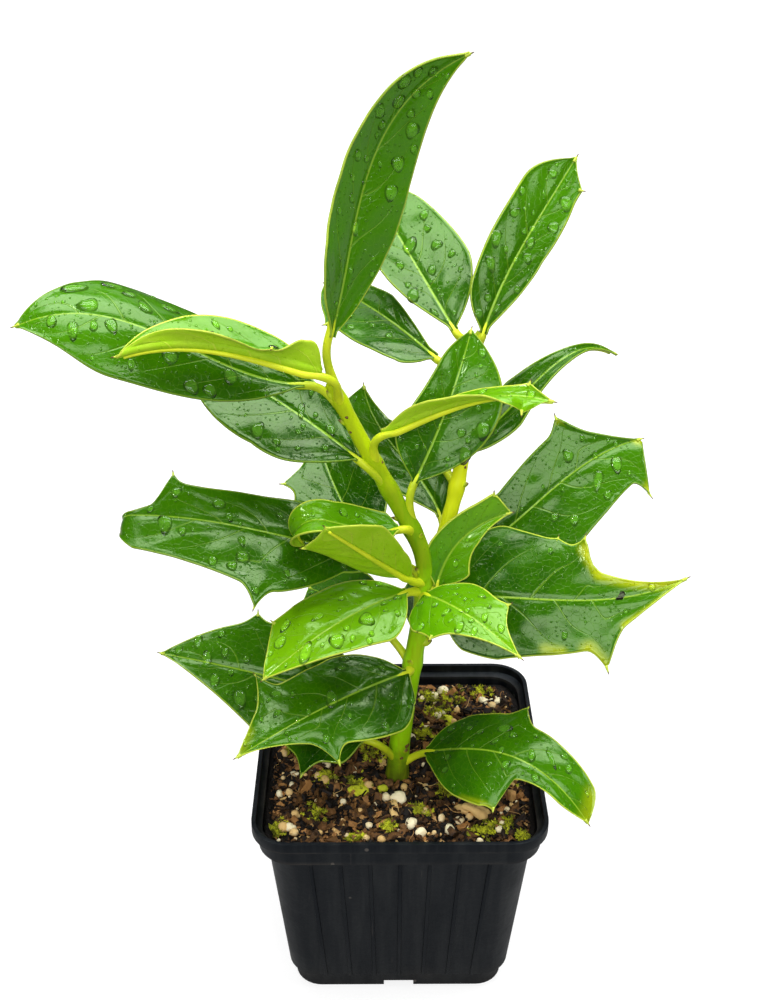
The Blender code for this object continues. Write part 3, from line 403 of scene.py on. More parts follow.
# The larger beads of rain: place along the blade from 0 to 1, across it from -1 to 1, length and width.
BEADS = {
    "leaf_01": [
        (0.83, -0.76, 4, 3.4), (0.87, -0.7, 3, 2.4), (0.9, -0.3, 3, 2.4), (0.77, -0.3, 4, 3.4),
        (0.76, 0.12, 2.4, 2), (0.82, 0.05, 3, 2.2), (0.85, 0.5, 2.4, 2), (0.72, -0.7, 4, 3),
        (0.72, 0.6, 4.5, 3.4), (0.57, -0.6, 3, 2.2), (0.59, 0.58, 4.5, 3.2), (0.49, 0.6, 4.5, 3.4),
    ],
    "leaf_02": [
        (0.82, 0.75, 7, 3.6), (0.71, 0.78, 6, 3), (0.65, 0.6, 4, 3), (0.77, 0.2, 5, 4.4),
        (0.6, 0.4, 4.6, 3), (0.52, 0.68, 5, 3), (0.69, -0.15, 5, 2.8), (0.82, -0.4, 5, 3),
        (0.47, -0.33, 4, 4), (0.37, -0.75, 4.6, 3.6), (0.31, -0.75, 3.6, 3.4), (0.26, -0.27, 5, 3.6),
        (0.89, -0.2, 4, 2.6),
    ],
    "leaf_04": [
        (0.42, -0.72, 5.5, 3.6), (0.32, -0.7, 2.6, 2.2), (0.28, -0.3, 2, 1.8), (0.29, -0.84, 1.8, 1.6),
        (0.23, -0.64, 1.8, 1.7), (0.34, 0.14, 5.5, 2),
    ],
    "leaf_05": [(0.57, -0.5, 3.4, 3), (0.48, -0.76, 3, 2.6), (0.4, -0.4, 2.4, 2), (0.27, -0.4, 2.6, 2.2)],
    "leaf_06": [
        (0.54, 0.1, 6, 4), (0.47, 0.55, 3.6, 3.2), (0.58, 0.6, 2.6, 2.2), (0.66, 0.75, 3.6, 2.6),
        (0.38, 0.7, 2.6, 2.2), (0.46, -0.42, 3, 2.4), (0.27, -0.72, 4.6, 3.8),
    ],
    "leaf_07": [
        (0.87, -0.42, 2.8, 2.6), (0.78, 0.65, 4.6, 4), (0.76, 0.06, 3.4, 2.6), (0.6, -0.7, 3, 3),
        (0.64, 0.65, 4, 3), (0.45, -0.8, 5, 3.2), (0.33, -0.65, 4.6, 3), (0.44, 0.4, 3, 2.8),
    ],
    "leaf_08": [
        (0.76, -0.84, 4, 3), (0.88, 0.7, 3, 2.2), (0.46, 0.82, 5, 4), (0.43, 0.62, 2, 1.8),
        (0.37, 0.68, 2, 1.8), (0.29, 0.84, 5, 3.8), (0.22, 0.6, 1.8, 1.6), (0.49, 0.6, 2, 1.6),
    ],
    "leaf_11": [
        (0.71, -0.38, 4, 3.4), (0.71, -0.12, 4.4, 4), (0.7, -0.62, 2.4, 2.2), (0.86, 0.38, 6, 3),
        (0.75, 0.43, 6.5, 3), (0.87, 0.73, 4, 3), (0.56, 0.65, 3.4, 3), (0.75, 0.8, 5.5, 2.6),
    ],
    "leaf_14": [
        (0.52, 0.65, 4, 2.2), (0.63, 0.6, 3.6, 1.8), (0.46, -0.1, 2, 1.6), (0.56, -0.6, 2.2, 2),
        (0.33, 0.23, 3, 2), (0.45, -0.74, 2.4, 2),
    ],
    "leaf_15": [
        (0.81, 0.53, 4.6, 3), (0.73, -0.36, 6.5, 3.4), (0.55, -0.52, 4.6, 4), (0.5, -0.74, 3.4, 2.6),
        (0.46, -0.3, 2, 1.8), (0.53, -0.16, 2.4, 2), (0.33, -0.32, 4.6, 4), (0.55, 0.38, 3.6, 2),
        (0.73, 0.72, 4.6, 2),
    ],
    "leaf_16": [(0.45, 0.1, 5.5, 3.6), (0.68, 0.72, 3.4, 2.6)],
    "leaf_17": [
        (0.85, 0.76, 5, 2.6), (0.86, 0.36, 5, 2.4), (0.79, 0.1, 5.5, 3), (0.83, -0.3, 4, 2.4),
        (0.73, -0.6, 5, 3), (0.6, -0.66, 6, 4),
    ],
    "leaf_20": [
        (0.43, -0.57, 4.4, 3), (0.24, -0.57, 2.2, 2), (0.49, -0.38, 3, 2), (0.16, 0.23, 2.4, 2),
        (0.16, 0.58, 2.6, 2), (0.71, -0.5, 6, 1.6), (0.65, -0.64, 5, 1.6),
    ],
    "leaf_21": [
        (0.63, 0.58, 4, 3.4), (0.79, -0.2, 5.6, 4), (0.82, -0.45, 2.6, 2), (0.54, -0.27, 3, 2.4),
        (0.53, -0.55, 4, 3.6), (0.56, -0.78, 3.2, 3), (0.77, 0.66, 3.2, 3), (0.77, -0.66, 7, 3),
    ],
}

# Random beads of rain: least width, how much wider they can be, and how much commoner small ones are. A
# bead from DROP_LARGE on has a finer mesh, and one over DROP_FLAT is flatter.
DROP_LEAST = 0.7
DROP_RANGE = 1.8
DROP_SMALL = 2.2
DROP_LARGE = 1.6
DROP_FLAT = 2.5
DROP_SINK = 0.06

# Buds: limb, height, azimuth, rise, length and radius. Scars: limb, height, azimuth and radius.
BUD_SIDES = 12
BUD_STEPS = 9
SCAR_HEIGHT = 0.9
BUDS = [
    ("main", 188.5, -100, 80, 4.0, 1.2), ("main", 186, -150, 50, 3.2, 1.0),
    ("main", 178, -170, 25, 3.0, 0.8), ("main", 149, -170, 20, 3.2, 0.7),
    ("main", 133, -150, 40, 2.6, 0.8), ("main", 109.5, -12, 15, 3.2, 1.7),
    ("main", 144, -50, 55, 2.4, 0.7), ("shoot", 188.5, 60, 75, 3.6, 1.0),
    ("shoot", 186, -60, 40, 2.6, 0.8), ("shoot", 153, -30, 30, 2.4, 0.8),
    ("main", 169, -30, 45, 1.6, 0.6), ("main", 103.5, -110, 40, 2.0, 1.1),
    ("main", 71, -50, 35, 2.2, 1.0),
]
SCARS = [
    ("main", 123.5, -75, 0.9), ("main", 102, -95, 0.6), ("main", 73, -40, 1.0),
    ("main", 166.5, -18, 0.6), ("shoot", 158, -60, 0.5), ("main", 180.5, -95, 0.5),
    ("main", 176, -130, 0.5), ("main", 69, -75, 0.6),
]

# Moss: the middle of each patch on the mix and how far it spreads.
MOSS = [
    (-8, 4, 5), (-12, -12, 4), (24, -31, 4), (30, -29, 3), (17, 30, 5), (13, 22, 4), (-24, -24, 3),
    (-3, -29, 2), (-13, -33, 2.5), (32, -8, 4), (-31, 6, 4), (-30, 28, 6), (8, 12, 3), (-4, 33, 6),
    (28, 33, 3), (-22, -8, 3), (6, -22, 3), (14, -14, 3), (30, 16, 4), (24, 8, 3), (10, 30, 4),
    (-34, -30, 3), (35, -34, 2),
]

# Pieces that stand out on the mix: place, length, width, height and tone.
PLACED = {
    "sandy_stones": [
        (21.1, -22.8, 7.4, 5.6, 4.6, 0.7), (-1.6, -22.3, 6.0, 3.2, 1.8, 0.95),
        (-18.6, -30, 4.2, 2.4, 1.2, 0.55), (33, -17, 2.6, 2.4, 4.2, 0.4),
    ],
    "perlite_lumps": [
        (-0.3, -17.4, 5.0, 4.4, 4.2, 0.95), (3.3, -28, 3.8, 3.4, 3.2, 0.9),
        (5.9, -31.2, 3.2, 2.8, 2.6, 0.85), (14.3, -30.6, 3.6, 3.0, 3.0, 1.0),
        (15.2, 35, 3.6, 3.4, 3.0, 0.9), (12.4, 32, 3.0, 2.6, 2.6, 0.85),
        (12.8, 20.6, 3.0, 2.6, 2.4, 0.8), (28.2, 28.6, 4.6, 2.6, 2.4, 1.0),
        (32.6, 28.4, 3.0, 2.6, 2.2, 0.9), (26.4, 19.6, 5.0, 2.8, 1.8, 1.0),
        (-13.7, -4.4, 2.8, 2.4, 2.2, 0.9), (-31, -6, 3.0, 1.8, 1.6, 0.95), (17, 10, 3.4, 2.2, 1.8, 0.85),
        (9, 16, 4.0, 1.6, 1.6, 0.9), (3.5, 21, 2.4, 2.0, 2.0, 0.8),
    ],
    "moss_lumps": [
        (-11.8, -13.4, 6.6, 4.4, 2.4, 0.75), (-3.2, -28.8, 2.8, 2.4, 2.2, 1.0),
        (-12.6, -33.2, 3.0, 2.6, 2.4, 1.0), (-15, -31.6, 2.6, 2.0, 1.6, 0.9),
        (-5, -12.6, 3.6, 3.0, 2.6, 0.8), (16.2, 19, 4.0, 3.0, 2.4, 0.85),
    ],
}

CAMERA_PLACE = (-6.6, -320.7, 332.1)
CAMERA_PITCH = 29.26
CAMERA_YAW = 0.3

# Stage, in metres: the floor, how far from the pot its glow fades in over a painted shadow, and for each
# lamp its place, its target and its size. A lamp's power is the stage's setting of the same name.
FLOOR_SIZE = 9
FLOOR_SHADE = (0.06, 0.5)
LAMPS = {
    "overhead": ((0.2, 0.1, 1.15), (0.2, 0.1, 0.1), (1.4, 0.75)),
    "behind": ((0.0, 2.8, 2.6), (0, 0, 0.15), (3.0, 1.2)),
    "left": ((-0.9, -0.5, 1.0), (0, 0, 0.15), (0.12, 0.12)),
    "front": ((0.0, -1.7, 1.2), (0, 0, 0.15), (2.2, 0.75)),
}

WHITE = (1.0, 1.0, 1.0, 1.0)
DEAD_COLOUR = (0.006, 0.004, 0.003, 1.0)
# Painted shade at the outline of a bead of rain.
WATER_RIM_SHADE = (0.004, 0.02, 0.002, 1.0)


def smooth(t):
    """A share from 0 to 1 that leaves and arrives gently."""
    t = min(1.0, max(0.0, t))
    return t * t * (3 - 2 * t)


def heading(azimuth, rise):
    """The unit vector of this azimuth and rise."""
    a = math.radians(azimuth)
    e = math.radians(rise)
    return Vector((math.cos(e) * math.cos(a), math.cos(e) * math.sin(a), math.sin(e)))


# Modelling


def only(obj):
    """Nothing but this object selected, and active."""
    bpy.ops.object.select_all(action="DESELECT")
    obj.select_set(True)
    bpy.context.view_layer.objects.active = obj


def added(operator, **settings):
    """The object that an operator adds, with nothing else selected."""
    bpy.ops.object.select_all(action="DESELECT")
    operator(**settings)
    return bpy.context.object


def sized(obj, size):
    """Scales an object and makes the scale part of its mesh."""
    obj.scale = size
    bpy.ops.object.transform_apply(location=False, rotation=False, scale=True)


def rolled(name, rings):
    """A tube through rings of points in millimetres: a grid with a row for each, rolled up and capped."""
    sides = len(rings[0])
    grid = bpy.ops.mesh.primitive_grid_add
    obj = added(grid, x_subdivisions=sides, y_subdivisions=len(rings) - 1, size=1)
    obj.name = name
    table = np.array(rings, float)
    table = np.concatenate([table, table[:, :1]], axis=1) * MM
    obj.data.vertices.foreach_set("co", table.ravel())
    bpy.ops.object.mode_set(mode="EDIT")
    bpy.ops.mesh.select_all(action="SELECT")
    bpy.ops.mesh.remove_doubles(threshold=MM / 1000)
    bpy.ops.mesh.select_all(action="SELECT")
    bpy.ops.mesh.fill_holes(sides=0)
    bpy.ops.mesh.select_all(action="SELECT")
    bpy.ops.mesh.normals_make_consistent(inside=False)
    bpy.ops.object.mode_set(mode="OBJECT")
    bpy.ops.object.shade_smooth()
    return obj


def ring_round(centre, ahead, radii, up=Vector((0, 0, 1))):
    """Points of one ring about a centre, square to ahead, with a radius for each point."""
    side = ahead.cross(up)
    if side.length < 1e-3:
        side = ahead.cross(Vector((0, 1, 0)))
    side.normalize()
    over = side.cross(ahead)
    count = len(radii)
    turns = [2 * math.pi * i / count for i in range(count)]
    return [centre + (side * math.cos(a) + over * math.sin(a)) * r for a, r in zip(turns, radii)]


def apply_modifier(obj, kind, **settings):
    """Adds a modifier with these settings and applies it."""
    only(obj)
    modifier = obj.modifiers.new(kind.title(), kind)
    for key, value in settings.items():
        setattr(modifier, key, value)
    bpy.ops.object.modifier_apply(modifier=modifier.name)


def joined(pieces):
    """Several objects made one, with the first one's mesh leading."""
    bpy.ops.object.select_all(action="DESELECT")
    for piece in pieces:
        piece.select_set(True)
    bpy.context.view_layer.objects.active = pieces[0]
    bpy.ops.object.join()
    return pieces[0]


def taken(obj):
    """The corner points and faces of a modelled shape, whose object is then removed."""
    points = np.array([vert.co[:] for vert in obj.data.vertices])
    faces = [tuple(face.vertices) for face in obj.data.polygons]
    bpy.data.objects.remove(obj, do_unlink=True)
    return points, faces


def many(name, copies, soft=True):
    """One mesh of many copies, each a shape, a 3 by 3 matrix, a place in millimetres and a tone."""
    points = []
    faces = []
    tones = []
    start = 0
    for (corners, outlines), turn, place, tone in copies:
        points.append(corners @ np.array(turn).T + np.array(place) * MM)
        faces += [tuple(start + i for i in face) for face in outlines]
        tones.append(np.full(len(corners), tone))
        start += len(corners)
    mesh = bpy.data.meshes.new(name)
    mesh.from_pydata(np.concatenate(points).tolist(), [], faces)
    tell(mesh, "tone", np.concatenate(tones))
    obj = bpy.data.objects.new(name, mesh)
    bpy.context.collection.objects.link(obj)
    only(obj)
    if soft:
        bpy.ops.object.shade_smooth()
    return obj


def tell(mesh, key, value):
    """Gives a mesh an attribute that its material reads: one value for all vertices, or one for each."""
    values = np.full(len(mesh.vertices), value, float)
    mesh.attributes.new(key, "FLOAT", "POINT").data.foreach_set("value", values)


def finish(obj, name, slot, materials, *nodes):
    """Names the piece, gives it its materials, and hangs it on the frame in place of these solids."""
    obj.name = name
    obj.data.name = name
    for material in materials:
        obj.data.materials.append(material)
    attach(obj, "root")
    if nodes:
        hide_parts(*nodes)


# Materials


class Graph:
    """Short words for building a node tree."""

    def __init__(self, tree):
        self.tree = tree

    def add(self, kind, **settings):
        node = self.tree.nodes.new("ShaderNode" + kind)
        for key, value in settings.items():
            setattr(node, key, value)
        return node

    def put(self, socket, value):
        if isinstance(value, bpy.types.NodeSocket):
            self.tree.links.new(value, socket)
        else:
            socket.default_value = value

    def math(self, operation, first, second=0.0, clamp=False):
        node = self.add("Math", operation=operation, use_clamp=clamp)
        self.put(node.inputs[0], first)
        self.put(node.inputs[1], second)
        return node.outputs[0]

    def plus(self, first, second, clamp=False):
        return self.math("ADD", first, second, clamp)

    def minus(self, first, second):
        return self.math("SUBTRACT", first, second)

    def times(self, first, second):
        return self.math("MULTIPLY", first, second)

    def band(self, value, low, high, start=0.0, end=1.0):
        """Start below low, end above high, and smooth between them."""
        node = self.add("MapRange", interpolation_type="SMOOTHSTEP")
        for socket, number in zip(node.inputs, (value, low, high, start, end)):
            self.put(socket, number)
        return node.outputs[0]

    def mix(self, share, first, second):
        node = self.add("Mix", data_type="RGBA")
        self.put(node.inputs[0], share)
        self.put(node.inputs[6], first)
        self.put(node.inputs[7], second)
        return node.outputs[2]

    def noise(self, place, scale, detail, roughness, stretch=None):
        if stretch:
            place = self.stretched(place, stretch)
        node = self.add("TexNoise")
        self.put(node.inputs["Vector"], place)
        self.put(node.inputs["Scale"], scale)
        self.put(node.inputs["Detail"], detail)
        self.put(node.inputs["Roughness"], roughness)
        return node.outputs["Fac"]

    def stretched(self, place, scale):
        node = self.add("Mapping")
        self.put(node.inputs["Vector"], place)
        node.inputs["Scale"].default_value = scale
        return node.outputs[0]

    def cells(self, place, scale, feature="F1", dimensions="3D"):
        node = self.add("TexVoronoi", feature=feature, voronoi_dimensions=dimensions)
        self.put(node.inputs["Vector"], place)
        self.put(node.inputs["Scale"], scale)
        return node

    def object_place(self):
        return self.add("TexCoord").outputs["Object"]

    def uv(self, name):
        return self.add("UVMap", uv_map=name).outputs[0]

    def attribute(self, name):
        return self.add("Attribute", attribute_name=name).outputs["Fac"]

    def parts(self, vector):
        node = self.add("SeparateXYZ")
        self.put(node.inputs[0], vector)
        return node.outputs

    def bump(self, height, distance):
        node = self.add("Bump")
        self.put(node.inputs["Height"], height)
        node.inputs["Distance"].default_value = distance
        return node.outputs[0]

    def group(self, name, **values):
        node = self.add("Group")
        node.node_tree = bpy.data.node_groups[name]
        for key, value in values.items():
            self.put(node.inputs[key], value)
        return node.outputs


def surface(graph, shader, colour, roughness, height=None, depth=None):
    """Gives a shader its colour, its roughness and, where there is a height, its relief."""
    graph.put(shader["Base Color"], colour)
    graph.put(shader["Roughness"], roughness)
    if height:
        graph.put(shader["Normal"], graph.bump(height, depth))


def new_group(name, inputs, outputs):
    """An empty node group with its sockets: each input has a kind and a default, each output a kind."""
    tree = bpy.data.node_groups.new(name, "ShaderNodeTree")
    for key, (kind, value) in inputs.items():
        socket = tree.interface.new_socket(name=key, in_out="INPUT", socket_type="NodeSocket" + kind)
        socket.default_value = value
    for key, kind in outputs.items():
        tree.interface.new_socket(name=key, in_out="OUTPUT", socket_type="NodeSocket" + kind)
    graph = Graph(tree)
    start = tree.nodes.new("NodeGroupInput")
    end = tree.nodes.new("NodeGroupOutput")
    return graph, start.outputs, end.inputs


def new_material(name, **plain):
    """A material with its Principled shader, whose plain values are set on its own sockets."""
    material = bpy.data.materials.get(name)
    if material:
        return material, None, None
    material = bpy.data.materials.new(name)
    material.use_nodes = True
    shader = material.node_tree.nodes["Principled BSDF"]
    for key, value in plain.items():
        shader.inputs[key.replace("_", " ")].default_value = value
    return material, Graph(material.node_tree), shader.inputs


def make_speckle():
    """Specks of one size scattered over a surface, by the piece's own coordinates."""
    inputs = {"Scale": ("Float", 400.0), "Share": ("Float", 0.3), "Size": ("Float", 0.25)}
    graph, start, end = new_group("speckle", inputs, {"Mask": "Float"})
    cell = graph.cells(graph.object_place(), start["Scale"])
    chosen = graph.math("LESS_THAN", graph.parts(cell.outputs["Color"])[0], start["Share"])
    edge = graph.times(start["Size"], 0.6)
    speck = graph.band(cell.outputs["Distance"], edge, start["Size"], 1.0, 0.0)
    graph.put(end["Mask"], graph.times(chosen, speck))


def make_weather():
    """Broad cloudy patches and fine grain, for dirt, dust and uneven growth."""
    inputs = {"Scale": ("Float", 60.0), "Low": ("Float", 0.4), "High": ("Float", 0.65)}
    graph, start, end = new_group("weather", inputs, {"Patches": "Float", "Grain": "Float"})
    place = graph.object_place()
    patches = graph.noise(place, start["Scale"], 5.0, 0.6)
    graph.put(end["Patches"], graph.band(patches, start["Low"], start["High"]))
    graph.put(end["Grain"], graph.noise(place, graph.times(start["Scale"], 14.0), 2.0, 0.6))


def make_leaf_pattern():
    """Midrib, side veins, their net, margin, wet film and fine beads of a leaf, along its own UV maps."""
    names = ("Midrib", "Veins", "Net", "Margin", "Mottle", "Wet", "Relief")
    outputs = {name: "Float" for name in names}
    graph, start, end = new_group("leaf_pattern", {"Pairs": ("Float", 6.0)}, outputs)
    across, along, _ = graph.parts(graph.uv("UVMap"))
    flat = graph.uv("flat")
    wide = graph.math("ABSOLUTE", graph.parts(flat)[0])
    s = graph.times(graph.minus(across, 0.5), 2.0)
    a = graph.math("ABSOLUTE", s)
    hand = graph.times(graph.math("LESS_THAN", s, 0.0), 0.5)
    lean = graph.times(graph.math("POWER", a, 3.0), VEIN_LEAN[1])
    lean = graph.plus(graph.times(a, VEIN_LEAN[0]), lean)
    sway = graph.plus(graph.times(along, 11.0), graph.times(s, 3.0))
    sway = graph.plus(sway, graph.times(graph.attribute("tone"), VEIN_PHASE))
    sway = graph.times(graph.math("SINE", sway), VEIN_SWAY)
    order = graph.times(graph.minus(along, lean), start["Pairs"])
    order = graph.plus(graph.plus(order, hand), sway)
    off = graph.times(graph.math("ABSOLUTE", graph.minus(graph.math("FRACT", order), 0.5)), 2.0)
    thick = graph.minus(VEIN_WIDTH[0], graph.times(a, VEIN_WIDTH[1]))
    vein = graph.band(graph.minus(off, thick), -0.025, 0.025, 1.0, 0.0)
    vein = graph.times(vein, graph.band(a, 0.55, 0.92, 1.0, 0.0))
    graph.put(end["Veins"], vein)
    rib = graph.minus(MIDRIB_WIDTH[0], graph.times(along, MIDRIB_WIDTH[1]))
    graph.put(end["Midrib"], graph.band(graph.minus(wide, rib), -0.12, 0.12, 1.0, 0.0))
    warp = graph.add("VectorMath", operation="ADD")
    graph.put(warp.inputs[0], flat)
    bend = graph.add("TexNoise")
    graph.put(bend.inputs["Vector"], flat)
    graph.put(bend.inputs["Scale"], 0.5)
    graph.put(warp.inputs[1], bend.outputs["Color"])
    net = graph.cells(warp.outputs[0], 0.6, "DISTANCE_TO_EDGE", "2D").outputs["Distance"]
    net = graph.band(net, 0.01, 0.07, 1.0, 0.0)
    graph.put(end["Net"], net)
    edge = graph.minus(graph.math("DIVIDE", wide, graph.math("MAXIMUM", a, 0.05)), wide)
    graph.put(end["Margin"], graph.band(edge, 0.15, 0.42, 1.0, 0.0))
    graph.put(end["Mottle"], graph.band(graph.noise(flat, 0.11, 4.0, 0.55), 0.35, 0.68))
    film = graph.noise(flat, 0.1, 4.0, 0.55, (1.0, 0.6, 1.0))
    graph.put(end["Wet"], graph.band(film, 0.62, 0.65))
    bead = graph.cells(flat, 0.8, "F1", "2D")
    size = graph.parts(bead.outputs["Color"])
    radius = graph.times(size[0], 0.32)
    dome = graph.math("DIVIDE", bead.outputs["Distance"], graph.math("MAXIMUM", radius, 0.02))
    dome = graph.math("SQRT", graph.math("MAXIMUM", graph.minus(1.0, graph.times(dome, dome)), 0.0))
    dome = graph.times(dome, graph.math("GREATER_THAN", size[1], 0.6))
    relief = graph.minus(graph.times(dome, 0.9), graph.times(vein, 0.45))
    relief = graph.minus(relief, graph.times(net, 0.06))
    relief = graph.plus(relief, graph.times(graph.noise(flat, 1.1, 5.0, 0.7), 0.12))
    relief = graph.plus(relief, graph.times(graph.band(film, 0.6, 0.65), 0.35))
    graph.put(end["Relief"], relief)


def rim_colour(graph, look):
    """Colour of a blade's hard edge: dull green on most grown leaves, pale yellow on the others."""
    return graph.mix(graph.attribute("rim"), look.margin_dull, look.margin)


def leaf_top(look, name, dark, light):
    """The glossy upper side: two greens, veins, margin, wet film, yellow strokes and dead spots."""
    material, graph, shader = new_material(name, Specular_IOR_Level=0.5, Coat_Roughness=0.03, Coat_IOR=1.4)
    if not graph:
        return material
    shader["Specular Tint"].default_value = look.sheen
    pattern = graph.group("leaf_pattern", Pairs=look.pairs)
    along = graph.parts(graph.uv("UVMap"))[1]
    # Painted shade: each blade is painted darker towards its stalk and lighter towards its tip.
    share = graph.plus(graph.attribute("tone"), graph.band(along, 0.1, 0.95, -0.25, 0.3), clamp=True)
    base = graph.mix(share, dark, light)
    base = graph.mix(graph.times(pattern["Mottle"], 0.3), base, light)
    worn = graph.group("weather", Scale=150.0, Low=0.3, High=0.7)
    cloud = graph.plus(0.65, graph.times(worn["Patches"], 0.35))
    base = graph.mix(graph.times(graph.attribute("age"), cloud), base, look.aged)
    base = graph.mix(graph.times(pattern["Net"], 0.07), base, look.vein)
    base = graph.mix(graph.times(pattern["Veins"], 0.22), base, look.vein)
    base = graph.mix(graph.times(pattern["Midrib"], 0.7), base, look.vein)
    base = graph.mix(pattern["Margin"], base, rim_colour(graph, look))
    # Painted light: seen through a bead of rain, the blade is painted a little lighter, standing for light
    # that the bead gathers; its roughness is raised there too.
    below = graph.math("GREATER_THAN", graph.add("LightPath").outputs["Transmission Depth"], 0.5)
    base = graph.mix(graph.times(below, 0.1), base, look.young)
    ragged = graph.plus(graph.attribute("dead"), graph.times(worn["Grain"], 0.5))
    base = graph.mix(graph.band(ragged, 0.7, 0.85), base, DEAD_COLOUR)
    wet = graph.times(pattern["Wet"], graph.attribute("wet"))
    rough = graph.minus(look.roughness, graph.times(wet, 0.1))
    rough = graph.math("MAXIMUM", rough, graph.times(below, 0.9))
    graph.put(shader["Coat Weight"], graph.times(wet, 0.4))
    surface(graph, shader, base, rough, pattern["Relief"], 0.0002)
    return material


def leaf_under(look, name, colour, vein):
    """The paler, duller lower side with its raised veins."""
    material, graph, shader = new_material(name, Specular_IOR_Level=0.2)
    if not graph:
        return material
    pattern = graph.group("leaf_pattern", Pairs=look.pairs)
    base = graph.mix(graph.times(pattern["Mottle"], 0.25), colour, vein)
    base = graph.mix(graph.times(pattern["Net"], 0.18), base, vein)
    base = graph.mix(graph.times(pattern["Veins"], 0.5), base, vein)
    base = graph.mix(pattern["Margin"], base, rim_colour(graph, look))
    rough = graph.plus(0.42, graph.times(pattern["Mottle"], 0.15))
    surface(graph, shader, base, rough, graph.times(pattern["Relief"], -1.0), 0.00015)
    return material


def leaf_margin(look):
    """The hard edge of a blade, with duller cloudy stretches."""
    material, graph, shader = new_material("leaf_margin", Specular_IOR_Level=0.3)
    if graph:
        grain = graph.group("weather", Scale=140.0)["Patches"]
        base = graph.mix(graph.times(grain, 0.4), rim_colour(graph, look), look.margin_dull)
        surface(graph, shader, base, graph.plus(0.35, graph.times(grain, 0.15)))
    return material


def leaf_stalk(look):
    """Stalk and midrib: yellow-green with darker cloudy stretches."""
    material, graph, shader = new_material("leaf_stalk", Specular_IOR_Level=0.3)
    if graph:
        skin = graph.group("weather", Scale=110.0, Low=0.4, High=0.7)
        base = graph.mix(graph.attribute("tone"), look.stalk_dull, look.stalk)
        base = graph.mix(graph.times(skin["Patches"], 0.35), base, look.young)
        rough = graph.plus(0.3, graph.times(skin["Grain"], 0.2))
        surface(graph, shader, base, rough, skin["Grain"], 0.00008)
    return material


def spine_finish(look):
    """Spines: the margin's yellow, turning to a dry brown point."""
    material, graph, shader = new_material("leaf_spine", Specular_IOR_Level=0.4)
    if graph:
        along = graph.parts(graph.uv("UVMap"))[1]
        base = graph.mix(graph.band(along, 0.5, 0.8), look.margin, look.thorn)
        surface(graph, shader, base, graph.band(along, 0.3, 0.9, 0.35, 0.7))
    return material


def green_bark(look):
    """Skin of stem and shoot: corky at the ground, green above, yellow-green on top, with brown flecks."""
    material, graph, shader = new_material("green_bark", Specular_IOR_Level=0.1)
    if not graph:
        return material
    height = graph.parts(graph.object_place())[2]
    streak = graph.noise(graph.object_place(), 260.0, 5.0, 0.65, (1.0, 1.0, 0.15))
    cloud = graph.noise(graph.object_place(), 120.0, 4.0, 0.6)
    raised = graph.plus(height, graph.times(graph.minus(cloud, 0.5), 0.03))
    # The lower stem is painted a brighter green than the middle: partly its own green, partly painted light
    # for the shade that the leaves cast on it.
    base = graph.mix(graph.band(raised, 0.060, 0.078), look.bark_foot, look.bark_low)
    base = graph.mix(graph.band(raised, 0.118, 0.142), base, look.bark_mid)
    base = graph.mix(graph.band(raised, 0.150, 0.175), base, look.bark_top)
    base = graph.mix(graph.band(streak, 0.42, 0.62, 0.0, 0.5), base, look.bark_pale)
    flecks = graph.group("speckle", Scale=760.0, Share=0.1, Size=0.24)["Mask"]
    low = graph.band(height, 0.075, 0.135, 0.5, 0.12)
    base = graph.mix(graph.times(flecks, low), base, look.scar)
    cork = graph.times(graph.band(cloud, 0.5, 0.66), graph.band(height, 0.063, 0.073, 0.5, 0.0))
    base = graph.mix(cork, base, look.scar)
    base = graph.mix(graph.times(graph.attribute("tone"), 0.85), base, look.shoot)
    rough = graph.band(streak, 0.3, 0.7, 0.28, 0.48)
    surface(graph, shader, base, rough, graph.plus(streak, flecks), 0.00012)
    return material


def bud_finish(look):
    """Bud scales: yellow-green with a brown tip."""
    material, graph, shader = new_material("bud_scale", Specular_IOR_Level=0.4)
    if graph:
        along = graph.parts(graph.uv("UVMap"))[1]
        tip = graph.band(graph.plus(along, graph.attribute("tone")), 0.75, 1.25)
        base = graph.mix(tip, look.bark_top, look.scar)
        surface(graph, shader, base, graph.band(along, 0.0, 1.0, 0.35, 0.6))
    return material


def pot_finish(look):
    """Thin black moulded plastic: faint upright flow lines, dust in the steps and a few nicks."""
    shine = {"Specular_IOR_Level": 0.2, "Specular_Tint": (0.75, 0.88, 1, 1)}
    material, graph, shader = new_material("pot_plastic_moulded", **shine)
    if not graph:
        return material
    place = graph.object_place()
    flow = graph.noise(place, 260.0, 3.0, 0.6, (1.0, 1.0, 0.05))
    cloud = graph.group("weather", Scale=45.0, Low=0.45, High=0.7)
    height = graph.parts(place)[2]
    steps = graph.times(graph.band(height, 0.0575, 0.0595, 1.0, 0.0), graph.band(height, 0.0555, 0.0572))
    under = graph.times(graph.band(height, 0.0625, 0.0634), graph.band(height, 0.0636, 0.0645, 1.0, 0.0))
    foot = graph.band(height, 0.002, 0.012, 0.6, 0.0)
    dust = graph.plus(graph.plus(steps, under), foot, clamp=True)
    dust = graph.times(dust, graph.plus(0.25, graph.times(cloud["Patches"], 0.75)))
    nicks = graph.group("speckle", Scale=210.0, Share=0.035, Size=0.16)["Mask"]
    scuffs = graph.band(graph.noise(place, 900.0, 2.0, 0.5, (1.0, 1.0, 0.02)), 0.68, 0.78)
    base = graph.mix(graph.band(flow, 0.35, 0.7), look.plastic, look.plastic_worn)
    base = graph.mix(graph.times(dust, look.dust), base, look.dust_colour)
    base = graph.mix(graph.times(scuffs, 0.12), base, look.dust_colour)
    base = graph.mix(graph.times(nicks, 0.5), base, look.dust_colour)
    rough = graph.plus(look.roughness, graph.times(cloud["Patches"], 0.12))
    rough = graph.plus(rough, graph.times(dust, 0.3))
    grain = graph.plus(cloud["Grain"], graph.times(flow, 0.6))
    surface(graph, shader, base, rough, graph.minus(grain, nicks), 0.00006)
    return material


